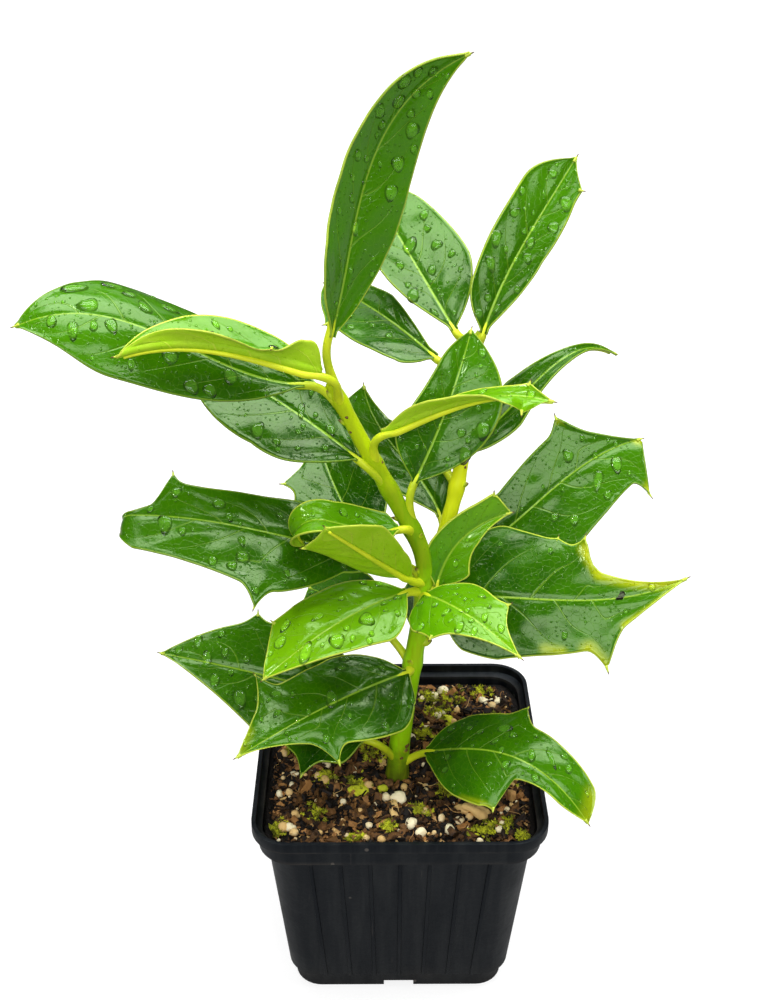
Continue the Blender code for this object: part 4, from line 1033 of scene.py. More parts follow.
def mix_piece_finish(name, dark, light, grain_size, roughness, depth=0.0002):
    """One kind of crumb, chip or grain: two colours dealt out by its tone and broken up by its grain."""
    material, graph, shader = new_material(name, Specular_IOR_Level=0.35)
    if not graph:
        return material
    grain = graph.noise(graph.object_place(), grain_size, 4.0, 0.65)
    share = graph.plus(graph.attribute("tone"), graph.times(graph.minus(grain, 0.5), 1.1))
    base = graph.mix(graph.band(share, 0.1, 0.95), dark, light)
    surface(graph, shader, base, graph.band(grain, 0.3, 0.7, roughness - 0.2, roughness), grain, depth)
    return material


def water_finish():
    """Clear water with painted shade round its rim, that lets most light through to the leaf below it."""
    material, graph, shader = new_material("rain_water", Transmission_Weight=1.0, Roughness=0.0, IOR=1.33)
    if graph:
        # Painted shade: the bead is tinted dark where its sides slope away and along its outline.
        slope = graph.add("LayerWeight").outputs["Facing"]
        foot = graph.times(graph.attribute("tone"), 0.85)
        rim = graph.math("MAXIMUM", graph.band(slope, 0.45, 0.85), foot)
        graph.put(shader["Base Color"], graph.mix(rim, WHITE, WATER_RIM_SHADE))
        shadow = graph.add("LightPath").outputs["Is Shadow Ray"]
        graph.put(shader["Alpha"], graph.minus(1.0, graph.times(shadow, 0.95)))
    return material


# Pot and mix


def edit_pick(obj, kind, test):
    """In edit mode, selects only the edges or faces for which the test of centre and direction holds."""
    bpy.ops.mesh.select_mode(type=kind)
    bpy.ops.mesh.select_all(action="DESELECT")
    shape = bmesh.from_edit_mesh(obj.data)
    for item in shape.edges if kind == "EDGE" else shape.faces:
        ends = item.verts
        centre = sum((vert.co for vert in ends), Vector()) / len(ends)
        way = (ends[1].co - ends[0].co).normalized() if kind == "EDGE" else item.normal
        item.select_set(test(centre / MM, way))
    bmesh.update_edit_mesh(obj.data)


def wall_half(height):
    """The outside half width of the pot's tapering wall at a height."""
    share = (height - WALL_LOW) / (WALL_HIGH - WALL_LOW)
    return WALL_FOOT_HALF + (WALL_TOP_HALF - WALL_FOOT_HALF) * share


def rib_places():
    """Share of the wall's width at which each rib stands."""
    return [2 * (number + 1) / (RIBS_A_SIDE + 1) - 1 for number in range(RIBS_A_SIDE)]


def raise_walls(pot):
    """Draws the foot up through each level to the lip, and scales each new outline to its own width."""
    levels = [
        (FOOT_HALF, FOOT_HEIGHT), (WALL_FOOT_HALF, WALL_LOW), (WALL_TOP_HALF, WALL_HIGH),
        (BAND_HALF, BAND_LOW), (BAND_HALF, BAND_HIGH), (LIP_HALF, LIP_LOW), (LIP_HALF, POT_HEIGHT),
    ]
    edit_pick(pot, "FACE", lambda centre, way: way.z > 0.9)
    before = (BASE_HALF, BASE_HEIGHT)
    for half, height in levels:
        rise = (0, 0, (height - before[1]) * MM)
        bpy.ops.mesh.extrude_region_move(TRANSFORM_OT_translate={"value": rise})
        grow = half / before[0]
        bpy.ops.transform.resize(value=(grow, grow, 1), center_override=(0, 0, height * MM))
        before = (half, height)
    bpy.ops.mesh.delete(type="ONLY_FACE")


def on_wall(centre, way):
    """Whether a face belongs to the tapering wall."""
    return WALL_LOW < centre.z < WALL_HIGH and abs(way.z) < 0.5


def on_rib(centre, way):
    """Whether a face is one of the strips that stand out as ribs."""
    if not on_wall(centre, way) or max(abs(way.x), abs(way.y)) < 0.95:
        return False
    across = centre.y if abs(way.x) > abs(way.y) else centre.x
    stand = [place * (wall_half(centre.z) - RIB_MARGIN) for place in rib_places()]
    return min(abs(across - one) for one in stand) < RIB_WIDTH * 0.3


def cut_ribs(pot):
    """Cuts narrow upright strips in the four walls and raises them, leaning as the wall does."""
    spread = (wall_half(WALL_HIGH) - wall_half(WALL_LOW)) / (WALL_HIGH - WALL_LOW)
    reach = wall_half(WALL_LOW) - RIB_MARGIN
    for side in (0, 1):
        for place in rib_places():
            for edge in (-0.5, 0.5):
                edit_pick(pot, "FACE", on_wall)
                middle = [0, 0, WALL_LOW * MM]
                middle[side] = (place * reach + edge * RIB_WIDTH) * MM
                square = [0, 0, -place * spread]
                square[side] = 1
                bpy.ops.mesh.bisect(plane_co=middle, plane_no=square)
    edit_pick(pot, "FACE", on_rib)
    bpy.ops.mesh.inset(thickness=RIB_SLOPE * MM, depth=RIB_PROUD * MM, use_individual=True)


def pot_cutter():
    """What is cut from the pot: four drain holes, and a notch in the middle of each side of the foot."""
    cutters = []
    for x in (-DRAIN_PLACE, DRAIN_PLACE):
        for y in (-DRAIN_PLACE, DRAIN_PLACE):
            size = {"vertices": 32, "radius": DRAIN_RADIUS * MM, "depth": 6 * MM}
            place = Vector((x, y, 0)) * MM
            cutters.append(added(bpy.ops.mesh.primitive_cylinder_add, location=place, **size))
    for across, along in ((0, 1), (0, -1), (1, 0), (-1, 0)):
        place = Vector((across * FOOT_HALF, along * FOOT_HALF, 0)) * MM
        notch = added(bpy.ops.mesh.primitive_cube_add, size=MM, location=place)
        plan = (NOTCH_DEPTH, NOTCH_WIDTH) if across else (NOTCH_WIDTH, NOTCH_DEPTH)
        sized(notch, (*plan, 2 * NOTCH_HEIGHT))
        cutters.append(notch)
    cutter = joined(cutters)
    bpy.ops.object.transform_apply(location=True, rotation=True, scale=True)
    return cutter


def make_pot(look):
    """The pot: a rounded square drawn up to the lip, ribbed, given its wall, rounded and pierced."""
    pot = added(bpy.ops.mesh.primitive_cube_add, size=1, location=(0, 0, BASE_HEIGHT / 2 * MM))
    pot.scale = (2 * BASE_HALF * MM, 2 * BASE_HALF * MM, BASE_HEIGHT * MM)
    bpy.ops.object.transform_apply(location=True, rotation=False, scale=True)
    bpy.ops.object.mode_set(mode="EDIT")
    edit_pick(pot, "EDGE", lambda centre, way: abs(way.z) > 0.9)
    bpy.ops.mesh.bevel(offset=CORNER_ROUND * MM, segments=9, affect="EDGES")
    raise_walls(pot)
    cut_ribs(pot)
    bpy.ops.mesh.select_all(action="SELECT")
    bpy.ops.mesh.normals_make_consistent(inside=False)
    bpy.ops.object.mode_set(mode="OBJECT")
    apply_modifier(pot, "SOLIDIFY", thickness=WALL * MM, offset=-1, use_even_offset=True)
    sharp = {"limit_method": "ANGLE", "angle_limit": math.radians(SHARP_EDGE)}
    apply_modifier(pot, "BEVEL", width=EDGE_ROUND * MM, segments=3, **sharp)
    cutter = pot_cutter()
    apply_modifier(pot, "BOOLEAN", operation="DIFFERENCE", object=cutter, solver="EXACT")
    bpy.data.objects.remove(cutter, do_unlink=True)
    only(pot)
    bpy.ops.object.shade_smooth_by_angle(angle=math.radians(SMOOTH_EDGE))
    finish(pot, "nursery_pot", "pot_plastic", [pot_finish(look)], "pot")


def mix_height(x, y):
    """The top of the mix as the solids have it: gentle lumps that die away at the stem's foot."""
    away = (Vector((x, y)) - STEM_FOOT.xy).length
    lump = noise.noise(Vector((x, y, 0)) / MIX_LUMP)
    flat = STEM_FOOT.z - FOOT_SINK
    return flat + (MIX_TOP - flat + MIX_SWELL * lump) * smooth((away - FOOT_FLAT) / FOOT_FADE)


def soft_square(half, height, corner=10.0):
    """A level ring of evenly turned points: nearly square, or rounder where corner is nearer to 2."""
    ring = []
    for i in range(BED_COLUMNS):
        angle = 2 * math.pi * i / BED_COLUMNS
        c = math.cos(angle)
        s = math.sin(angle)
        reach = half / (abs(c) ** corner + abs(s) ** corner) ** (1 / corner)
        ring.append((reach * c, reach * s, height))
    return ring


def make_mix(look):
    """The bed of mix: its sides follow the pot's inside, and its top is crumbly."""
    rings = [soft_square(half, height) for half, height in BED_SIDES]
    for i in range(BED_RINGS):
        half = BED_TOP_HALF * (1 - i / BED_RINGS) + BED_MIDDLE_HALF
        ring = []
        for x, y, _ in soft_square(half, 0, 10 - 8 * i / BED_RINGS):
            fine = noise.noise(Vector((x, y, 3)) / CRUMB_FINE)
            coarse = noise.noise(Vector((x, y, 7)) / CRUMB_COARSE)
            crumb = fine * 0.5 + coarse * 0.7
            ring.append((x, y, mix_height(x, y) + crumb * smooth((BED_RIM - half) / 2)))
        rings.append(ring)
    # The bed is nearly all damp humus, near black: partly the humus's own colour, partly painted shade in
    # the gaps between the strewn pieces.
    soil = mix_piece_finish("mix_humus", look.humus_dark, look.humus, 900.0, 0.95, 0.0005)
    finish(rolled("bed", rings), "potting_mix_bed", "potting_mix", [soil], "potting_mix")


def chip_shape(seed, wide, thick):
    """A split flake of bark, one unit long: a box cut up, narrowed to its ends, bent and frayed."""
    chip = added(bpy.ops.mesh.primitive_cube_add, size=1)
    sized(chip, (1, wide, thick))
    bpy.ops.object.mode_set(mode="EDIT")
    bpy.ops.mesh.select_all(action="SELECT")
    bpy.ops.mesh.subdivide(number_cuts=2)
    bpy.ops.object.mode_set(mode="OBJECT")
    noise.seed_set(FRAY_SEED)
    for vert in chip.data.vertices:
        x, y, _ = vert.co
        vert.co.y *= 1 - 0.45 * abs(x) ** 2
        vert.co.z += 0.25 * noise.noise(Vector((x * 1.5, y * 3, seed)))
        vert.co += noise.noise_vector(vert.co * 4 + Vector((seed, 0, 0))) * FRAY
    return taken(chip)


def pebble_shape(seed, divisions, amount):
    """A rounded lump, one unit across: a ball whose corners are pushed in and out by smooth noise."""
    ball = added(bpy.ops.mesh.primitive_ico_sphere_add, subdivisions=divisions, radius=0.5)
    for vert in ball.data.vertices:
        away = vert.co.normalized()
        vert.co += away * noise.noise(vert.co / 0.45 + Vector((seed, 2 * seed, 0))) * amount
    return taken(ball)


def spun(angle, about):
    """The matrix of a turn about one axis."""
    return Matrix.Rotation(angle, 3, about)


def moss_shape(seed):
    """A cushion of short moss leaves that stand out from a point, one unit across."""
    leaf = added(bpy.ops.mesh.primitive_cone_add, vertices=4, radius1=0.09, radius2=0.0, depth=0.4)
    leaf.data.transform(Matrix.Translation((0, 0, 0.22)) @ Matrix.Diagonal((1, 0.4, 1, 1)))
    shape = taken(leaf)
    draw = np.random.default_rng(seed)
    points = []
    faces = []
    for _ in range(MOSS_SPRIGS):
        turn = spun(draw.uniform(0, FULL_TURN), "Z") @ spun(draw.uniform(0, 1.35), "X")
        turn = turn @ spun(draw.uniform(0, FULL_TURN), "Z")
        root = np.array([draw.normal(0, 0.16), draw.normal(0, 0.16), draw.uniform(-0.08, 0.12)])
        start = sum(len(one) for one in points)
        points.append(shape[0] @ np.array(turn).T * draw.uniform(0.6, 1.2) + root)
        faces += [tuple(start + i for i in face) for face in shape[1]]
    return np.concatenate(points), faces


def bed_spot(draw, keep):
    """A random place on the mix, inside the pot's wall and clear of the stem, for a piece of this reach."""
    reach = STREWN_HALF - keep
    while True:
        x, y = draw.uniform(-reach, reach, 2)
        corner = (abs(x) / reach) ** 8 + (abs(y) / reach) ** 8
        if corner < 1 and (Vector((x, y)) - STEM_FOOT.xy).length > FOOT_CLEAR + keep * 0.6:
            return x, y


def strewn(name, shapes, count, sizes, tilt, sink, seed, soft):
    """Copies of a few shapes strewn over the mix: sizes in millimetres, small ones commonest."""
    draw = np.random.default_rng(seed)
    copies = []
    for _ in range(count):
        size = sizes[0] + (sizes[1] - sizes[0]) * draw.uniform() ** 2.4
        x, y = bed_spot(draw, size / 2)
        turn = spun(draw.uniform(0, FULL_TURN), "Z") @ spun(draw.normal(0, tilt), "X")
        turn = turn @ spun(draw.normal(0, tilt), "Y") @ spun(draw.uniform(0, FULL_TURN), "Z")
        place = (x, y, mix_height(x, y) + size * (0.5 - sink) * 0.4 + draw.uniform(0, 0.5))
        shape = shapes[draw.integers(len(shapes))]
        copies.append((shape, np.array(turn) * size * MM, place, draw.uniform() ** 1.5))
    return many(name, copies, soft)


def moss_patches(shapes, count):
    """Small tufts of moss gathered in the patches of MOSS."""
    draw = np.random.default_rng(46)
    copies = []
    while len(copies) < count:
        x, y, reach = MOSS[draw.integers(len(MOSS))]
        x += draw.normal(0, reach * 0.5)
        y += draw.normal(0, reach * 0.5)
        if max(abs(x), abs(y)) > MOSS_HALF:
            continue
        size = draw.uniform(*MOSS_SIZES)
        turn = spun(draw.uniform(0, FULL_TURN), "Z") @ spun(draw.normal(0, 0.3), "X")
        shape = shapes[draw.integers(len(shapes))]
        place = (x, y, mix_height(x, y) + draw.uniform(*MOSS_RISE))
        copies.append((shape, np.array(turn) * size * MM, place, draw.uniform()))
    return many("moss_cushions", copies, False)


def placed_pieces(name, shapes, material):
    """The pieces of one kind in PLACED, each where it lies in the photograph."""
    copies = []
    for number, (x, y, long, wide, high, tone) in enumerate(PLACED[name]):
        turn = np.array(spun(1.7 * number, "Z")) @ np.diag((long, wide, high)) * MM
        shape = shapes[number % len(shapes)]
        copies.append((shape, turn, (x, y, mix_height(x, y) + high * 0.3), tone))
    finish(many(name, copies), name, "potting_mix", [material])


def twig_shape(seed):
    """A thin bent fibre, one unit long: a rolled tube with three bends."""
    rings = []
    for i in range(TWIG_STEPS + 1):
        t = i / TWIG_STEPS
        bend = Vector((t - 0.5, 0.12 * math.sin(5 * t + seed), 0.06 * math.sin(3 * t + 2 * seed)))
        rings.append(ring_round(bend * (1 / MM), Vector((1, 0, 0)), [TWIG_RADIUS * (1 - 0.5 * t)] * 5))
    return taken(rolled("twig", rings))


def dress_mix(look):
    """Everything that lies on the mix, each kind joined into one piece."""
    crumbs = [pebble_shape(seed, 1, 0.5) for seed in range(5)]
    flakes = [chip_shape(seed, 0.36, 0.11) for seed in range(8)]
    blocks = [chip_shape(seed + 9, 0.5, 0.26) for seed in range(4)]
    grains = [pebble_shape(seed + 20, 2, 0.12) for seed in range(4)]
    moss = [moss_shape(seed + 30) for seed in range(4)]
    twigs = [twig_shape(seed) for seed in range(4)]
    stones = [pebble_shape(5, 3, 0.75), chip_shape(3, 0.8, 0.8)]
    lumps = [pebble_shape(seed + 8, 3, 0.12) for seed in range(3)]
    dark = mix_piece_finish("bark_dark", look.humus_dark, look.humus, 700.0, 0.8, 0.0004)
    red = mix_piece_finish("bark_red", look.bark_dark, look.bark, 600.0, 0.75, 0.0004)
    pale = mix_piece_finish("bark_pale", look.bark, look.straw, 600.0, 0.8, 0.0003)
    chalk = mix_piece_finish("perlite", look.straw, look.perlite, 420.0, 0.85, 0.0004)
    green = mix_piece_finish("moss", look.moss_dark, look.moss, 500.0, 0.9, 0.0003)
    sandy = mix_piece_finish("sandy_stone", look.bark, look.stone, 300.0, 0.85, 0.0004)
    rows = [
        ("crumbs", crumbs, look.crumbs, (0.4, 1.7), 1.0, 0.1, 41, dark),
        ("flakes_dark", flakes + blocks, look.chips * 6 // 5, (1.0, 5.5), 0.5, 0.3, 42, dark),
        ("flakes_red", flakes + blocks, look.chips * 3 // 5, (1.0, 5.0), 0.5, 0.25, 43, red),
        ("flakes_pale", flakes, look.chips // 6, (0.8, 3.6), 0.45, 0.1, 44, pale),
        ("perlite_grains", grains, look.grains, (0.9, 3.2), 1.0, -0.3, 45, chalk),
        ("fibres", twigs, look.fibres, (2.0, 7.0), 0.25, -0.2, 47, pale),
    ]
    for name, shapes, count, sizes, tilt, sink, seed, material in rows:
        soft = shapes is grains or shapes is twigs
        finish(strewn(name, shapes, count, sizes, tilt, sink, seed, soft), name, "potting_mix", [material])
    finish(moss_patches(moss, look.cushions), "moss_cushions", "potting_mix", [green])
    placed_pieces("sandy_stones", stones, sandy)
    placed_pieces("perlite_lumps", lumps, chalk)
    placed_pieces("moss_lumps", lumps, green)


# Stem and shoot


def axis(limb, height):
    """The centre of a limb at a height: a smooth curve through the points of its path."""
    path = [Vector(point) for point in LIMBS[limb]["path"]]
    k = max(i for i in range(len(path) - 1) if i == 0 or path[i].z <= height)
    before = path[max(k - 1, 0)]
    start = path[k]
    end = path[k + 1]
    after = path[min(k + 2, len(path) - 1)]
    rise = end.z - start.z
    u = (height - start.z) / rise
    leave = (end - before) / (end.z - before.z) * rise
    arrive = (after - start) / (after.z - start.z) * rise
    centre = start * (2 * u**3 - 3 * u**2 + 1) + leave * (u**3 - 2 * u**2 + u)
    centre += end * (3 * u**2 - 2 * u**3) + arrive * (u**3 - u**2)
    return Vector((centre.x, centre.y, height))


def limb_ends(limb):
    """The heights of a limb's foot and of its top."""
    path = LIMBS[limb]["path"]
    return path[0][2], path[-1][2]


def limb_radius(limb, height):
    """Taper from foot to top, a little thicker at each node and, on the main stem, at the ground."""
    low, high = limb_ends(limb)
    start, end = LIMBS[limb]["radii"]
    radius = start + (end - start) * (height - low) / (high - low)
    for node in LIMBS[limb]["nodes"]:
        radius += NODE_SWELL * math.exp(-(((height - node) / NODE_REACH) ** 2))
    if limb == "main":
        radius += ROOT_FLARE * math.exp(-(height - low) / ROOT_REACH)
    return radius


def make_limb(limb, name, node, material):
    """One limb with the relief of its skin: shallow ribs down from the leaves, and fine wrinkles."""
    low, high = limb_ends(limb)
    steps = round((high - low) / LIMB_STEP)
    rings = []
    for i in range(steps + 1):
        height = low + (high - low) * i / steps
        centre = axis(limb, min(height, high - 0.01))
        ahead = (axis(limb, min(height + 0.5, high)) - axis(limb, max(height - 0.5, low))).normalized()
        radii = []
        for k in range(LIMB_SIDES):
            turn = 2 * math.pi * k / LIMB_SIDES
            around = Vector((math.cos(turn), math.sin(turn), 0))
            swirl = noise.noise(Vector((around.x * 1.6, around.y * 1.6, height / 26)))
            wrinkle = noise.noise(Vector((around.x * 9, around.y * 9, height / 5)))
            relief = 1 + LIMB_SWIRL * swirl + LIMB_WRINKLE * wrinkle
            radii.append(limb_radius(limb, height) * relief)
        rings.append(ring_round(centre, ahead, radii))
    if limb == "main":
        rings.insert(0, [Vector((p.x * 1.05, p.y * 1.05 + 0.2, low - 3)) for p in rings[0]])
    top = axis(limb, high - 0.01)
    for share, up in ((0.85, 0.7), (0.5, 1.2)):
        rings.append([top.lerp(point, share) + Vector((0, 0, up)) for point in rings[-1]])
    skin = rolled(name, rings)
    tell(skin.data, "tone", 1.0 if limb == "shoot" else 0.0)
    finish(skin, name, "stem_bark", [material], node)


def teardrop(name, foot, way, length, radius):
    """A pointed bud or bump that grows from foot along way, narrowing to its tip."""
    rings = []
    for i in range(BUD_STEPS + 1):
        t = i / BUD_STEPS
        swell = math.sin(math.pi * min(1.0, 0.28 + 0.72 * t)) ** 0.8 if t < 1 else 0.0
        turns = [2 * math.pi * k / BUD_SIDES for k in range(BUD_SIDES)]
        ridge = [radius * swell * (1 + 0.08 * math.cos(3 * turn)) for turn in turns]
        rings.append(ring_round(foot + way * length * (t - 0.15), way, ridge))
    return rolled(name, rings)


def make_buds(look):
    """Buds in the leaf axils and at the tips, and the brown scars of leaves that have dropped."""
    buds = []
    for limb, height, azimuth, rise, length, radius in BUDS:
        out = heading(azimuth, 0)
        foot = axis(limb, height) + out * limb_radius(limb, height) * (0.7 if rise < 80 else 0.1)
        bud = teardrop("bud", foot, heading(azimuth, rise), length, radius)
        tell(bud.data, "tone", 0.35 * abs(math.sin(height)))
        buds.append(bud)
    finish(joined(buds), "stem_buds", "stem_bark", [bud_finish(look)])
    scars = []
    for limb, height, azimuth, size in SCARS:
        out = heading(azimuth, 0)
        foot = axis(limb, height) + out * (limb_radius(limb, height) - 0.35)
        scars.append(teardrop("scar", foot, out, SCAR_HEIGHT, size))
    bark = mix_piece_finish("leaf_scar", look.scar, look.bark_foot, 1500.0, 0.9)
    finish(joined(scars), "leaf_scars", "stem_bark", [bark])


# Leaves


def edge_rows(rows):
    """The points of an edge with the base added and missing columns set to nothing."""
    return [(0, 0, 0, 0, 0)] + [tuple(row) + (0,) * (5 - len(row)) for row in rows]


def push(values, t):
    """A smooth push that is nothing at both ends and takes the two values at a third and at two thirds."""
    first, second = values
    return 13.5 * t * (1 - t) * (first * (2 / 3 - t) + second * (t - 1 / 3))


def vein_gap(t, s, pairs, tone):
    """0 on a side vein and 1 midway between two, by the same rule as the leaf pattern's."""
    a = abs(s)
    order = (t - VEIN_LEAN[0] * a - VEIN_LEAN[1] * a**3) * pairs + (0.5 if s < 0 else 0)
    order += VEIN_SWAY * math.sin(11 * t + 3 * s + VEIN_PHASE * tone)
    return abs(order % 1 - 0.5) * 2


class Blade:
    """The shape of one leaf, from its row in LEAVES."""

    def __init__(self, row, look):
        self.row = row
        self.look = look
        self.seat = axis(row["limb"], row["seat"])
        azimuth, rise, length = row["stalk"]
        self.base = self.seat + heading(azimuth, rise) * length
        azimuth, rise, self.length = row["blade"]
        self.ahead = heading(azimuth, rise)
        face = heading(*row["face"])
        self.up = (face - self.ahead * face.dot(self.ahead)).normalized()
        self.right = self.ahead.cross(self.up)
        self.edges = {-1: edge_rows(row["left"]), 1: edge_rows(row["right"])}

    def get(self, name):
        """A pair of values of the leaf's row, or two noughts."""
        return self.row.get(name, (0, 0))

    def midrib(self, t):
        """The midrib's place at t before any hook."""
        line = self.base + self.ahead * self.length * t
        return line + self.up * push(self.get("bow"), t) + self.right * push(self.get("sway"), t)

    def frame(self, t):
        """Place, direction, upward normal and right hand of the midrib at t."""
        start, angle = self.row.get("hook", (1, 0))
        at = min(t, start)
        place = self.midrib(at)
        ahead = (self.midrib(at + 0.001) - self.midrib(at - 0.001)).normalized()
        twist = self.get("twist")
        turn = math.radians(twist[0] * (1 - t) + twist[1] * t)
        up = self.up * math.cos(turn) + self.right * math.sin(turn)
        up = (up - ahead * up.dot(ahead)).normalized()
        right = ahead.cross(up)
        if t > start:
            bend = math.radians(angle) * (t - start) / (1 - start)
            radius = (1 - start) * self.length / math.radians(angle)
            place = place + ahead * radius * math.sin(bend) - up * radius * (1 - math.cos(bend))
            ahead, up = (
                ahead * math.cos(bend) - up * math.sin(bend),
                up * math.cos(bend) + ahead * math.sin(bend),
            )
        return place, ahead, up, right

    def edge(self, t, hand):
        """Half width and lift of one edge at t."""
        rows = self.edges[hand]
        k = max(i for i in range(len(rows) - 1) if rows[i][0] <= t)
        start = rows[k]
        end = rows[k + 1]
        u = (t - start[0]) / (end[0] - start[0])
        half = start[1] + (end[1] - start[1]) * u + end[2] * 4 * u * (1 - u)
        lift = start[4] + (end[4] - start[4]) * smooth(u)
        for row in rows:
            near = 1 - abs(t - row[0]) * self.length / SPINE_REACH
            half += row[3] * max(0, near) ** 2
        least = STALK_RADIUS + (TIP_HALF - STALK_RADIUS) * smooth(t / 0.3)
        return max(half, least), lift

    def sheet(self, t, s, at=None):
        """The middle of the blade's thickness at t along it and s across it, and the normal there."""
        (place, _, up, right), edges = at or self.row_at(t)
        hand = -1 if s < 0 else 1
        half, lift = edges[hand]
        side = 0 if hand < 0 else 1
        widest = max(row[1] for row in self.edges[hand])
        fold = math.radians(self.get("fold")[side])
        curl = math.radians(self.get("curl")[side]) * min(1, half / widest)
        fold *= smooth(abs(s) * half / FOLD_REACH) if s else 0
        lean = fold + curl * abs(s) / 2
        over = right * hand * math.cos(lean) + up * math.sin(lean)
        point = place + over * half * abs(s) + up * lift * s * s
        turned = fold + curl * abs(s) if s else 0
        return point, up * math.cos(turned) - right * hand * math.sin(turned)

    def row_at(self, t):
        """What all points of the blade at t share: the midrib's frame and both edges."""
        return self.frame(t), {hand: self.edge(t, hand) for hand in (-1, 1)}

    def skin(self, t, s, at=None):
        """The upper surface: sunk along the midrib and the side veins, raised between them, and wavy."""
        at = at or self.row_at(t)
        point, normal = self.sheet(t, s, at)
        half = at[1][-1 if s < 0 else 1][0]
        out = abs(s) * half
        inside = smooth(out / VEIN_MARGIN) * smooth((1 - abs(s)) * half / VEIN_MARGIN)
        swell = (vein_gap(t, s, self.look.pairs, self.row["tone"]) ** 0.7 - 0.6) * self.look.relief / MM
        lift = SKIN_LIFT + swell * inside - self.groove(t) * math.exp(-((out / GROOVE_HALF) ** 2))
        wave = sum(noise.noise(point / size) * height for size, height in WAVES)
        lift += wave * smooth(out / WAVE_START) + RIM_LIFT * smooth((out - half + RIM_WIDTH) / RIM_WIDTH)
        return point + normal * lift, normal

    def stain(self, kind, t, s):
        """How strongly the strokes of one kind colour the blade at t and s."""
        share = 0.0
        here = self.flat(t, s)
        for t_from, s_from, t_to, s_to, reach, strength in self.row.get(kind, ()):
            start = self.flat(t_from, s_from)
            run = self.flat(t_to, s_to) - start
            along = min(1.0, max(0.0, (here - start).dot(run) / max(run.length_squared, 1e-9)))
            share = max(share, strength * (1 - smooth((here - start - run * along).length / reach)))
        return share

    def flat(self, t, s):
        """The place of t and s on the blade laid flat, in millimetres."""
        return Vector((s * self.edge(t, -1 if s < 0 else 1)[0], t * self.length))

    def groove(self, t):
        """How deep the blade is sunk along its midrib."""
        return GROOVE * (1 - 0.5 * t) * smooth(t / 0.06)

    def stalk_centre(self, t):
        """The middle of the stalk, from the limb's centre into the line of the midrib."""
        _, ahead, up, _ = self.frame(0)
        end = self.base - up * (STALK_RADIUS - BURY)
        reach = (end - self.seat).length
        points = (self.seat, self.seat.lerp(end, 0.35), end - ahead * reach * 0.45, end)
        weights = ((1 - t) ** 3, 3 * t * (1 - t) ** 2, 3 * t * t * (1 - t), t**3)
        return sum((p * w for p, w in zip(points, weights)), Vector())

    def rib_centre(self, t):
        """The middle of the midrib below the blade, and its radius."""
        point, normal = self.sheet(t, 0)
        radius = STALK_RADIUS + (RIB_END_RADIUS - 0.15 - STALK_RADIUS) * t**0.7
        settle = smooth(t / 0.1)
        drop = (STALK_RADIUS - BURY) * (1 - settle) + (radius + self.groove(t) + 0.05) * settle
        return point - normal * drop, radius


def make_blade(name, blade, materials):
    """The blade as a grid laid on its skin and made solid, with UV maps in shares and in millimetres."""
    rows = round(blade.length / ROW_STEP)
    grid = bpy.ops.mesh.primitive_grid_add
    obj = added(grid, x_subdivisions=COLUMNS, y_subdivisions=rows, size=1)
    obj.name = name
    places = []
    maps = {"UVMap": [], "flat": []}
    shares = {"age": [], "dead": []}
    for j in range(rows + 1):
        t = j / rows
        at = blade.row_at(t)
        for i in range(COLUMNS + 1):
            x = 2 * i / COLUMNS - 1
            s = math.copysign(abs(x) ** COLUMN_SPREAD, x)
            point, _ = blade.skin(t, s, at)
            places.append(point * MM)
            maps["UVMap"].append((0.5 + s / 2, t))
            maps["flat"].append(tuple(blade.flat(t, s)))
            for kind, values in shares.items():
                values.append(blade.stain(kind, t, s))
    mesh = obj.data
    mesh.vertices.foreach_set("co", np.array(places).ravel())
    corners = np.zeros(len(mesh.loops), int)
    mesh.loops.foreach_get("vertex_index", corners)
    for key, values in maps.items():
        layer = mesh.uv_layers.get(key) or mesh.uv_layers.new(name=key)
        layer.data.foreach_set("uv", np.array(values)[corners].ravel())
    for key in ("tone", "rim", "wet"):
        shares[key] = blade.row[key]
    for key, values in shares.items():
        tell(mesh, key, values)
    for material in materials:
        mesh.materials.append(material)
    sides = {"material_offset": 1, "material_offset_rim": 2}
    apply_modifier(obj, "SOLIDIFY", thickness=blade.look.thickness, offset=-1, **sides)
    bpy.ops.object.shade_smooth()
    return obj


def make_stalk(blade, material):
    """Stalk and midrib in one: a round stalk that flares into its limb and thins to the leaf's tip."""
    centres = []
    radii = []
    for i in range(STALK_STEPS):
        centre = blade.stalk_centre(i / STALK_STEPS)
        flare = STALK_FLARE * math.exp(-(((centre - blade.seat).length / STALK_FLARE_REACH) ** 2))
        centres.append(centre)
        radii.append(STALK_RADIUS * (1 + flare))
    for i in range(RIB_STEPS + 1):
        centre, radius = blade.rib_centre(RIB_END * i / RIB_STEPS)
        centres.append(centre)
        radii.append(radius)
    rings = []
    for i, (centre, radius) in enumerate(zip(centres, radii)):
        ahead = (centres[min(i + 1, len(centres) - 1)] - centres[max(i - 1, 0)]).normalized()
        ridges = [radius * (1 + 0.05 * math.cos(math.pi * k / 2 + i * 0.05)) for k in range(STALK_SIDES)]
        rings.append(ring_round(centre, ahead, ridges, blade.up))
    stalk = rolled("stalk", rings)
    stalk.data.materials.append(material)
    tell(stalk.data, "tone", 0.5 + 0.5 * blade.row["rim"])
    return stalk


def make_spine(blade, t, hand, material, length):
    """A hard curved point at an edge's spine, or at the tip of the leaf where hand is 0."""
    root, normal = blade.sheet(t, hand)
    way = blade.frame(t)[1]
    if hand:
        inner, _ = blade.sheet(t, hand * 0.7)
        way = ((root - inner).normalized() + way * 0.25).normalized()
    rings = []
    for i in range(SPINE_STEPS + 1):
        share = i / SPINE_STEPS
        centre = root + way * length * (share - 0.45) + normal * (0.12 + 0.3 * share * share)
        width = SPINE_RADIUS * (1 - share) ** 0.8 + 0.03 if share < 1 else 0.0
        rings.append(ring_round(centre, way, [width] * 8, normal))
    spine = rolled("spine", rings)
    spine.data.materials.append(material)
    return spine


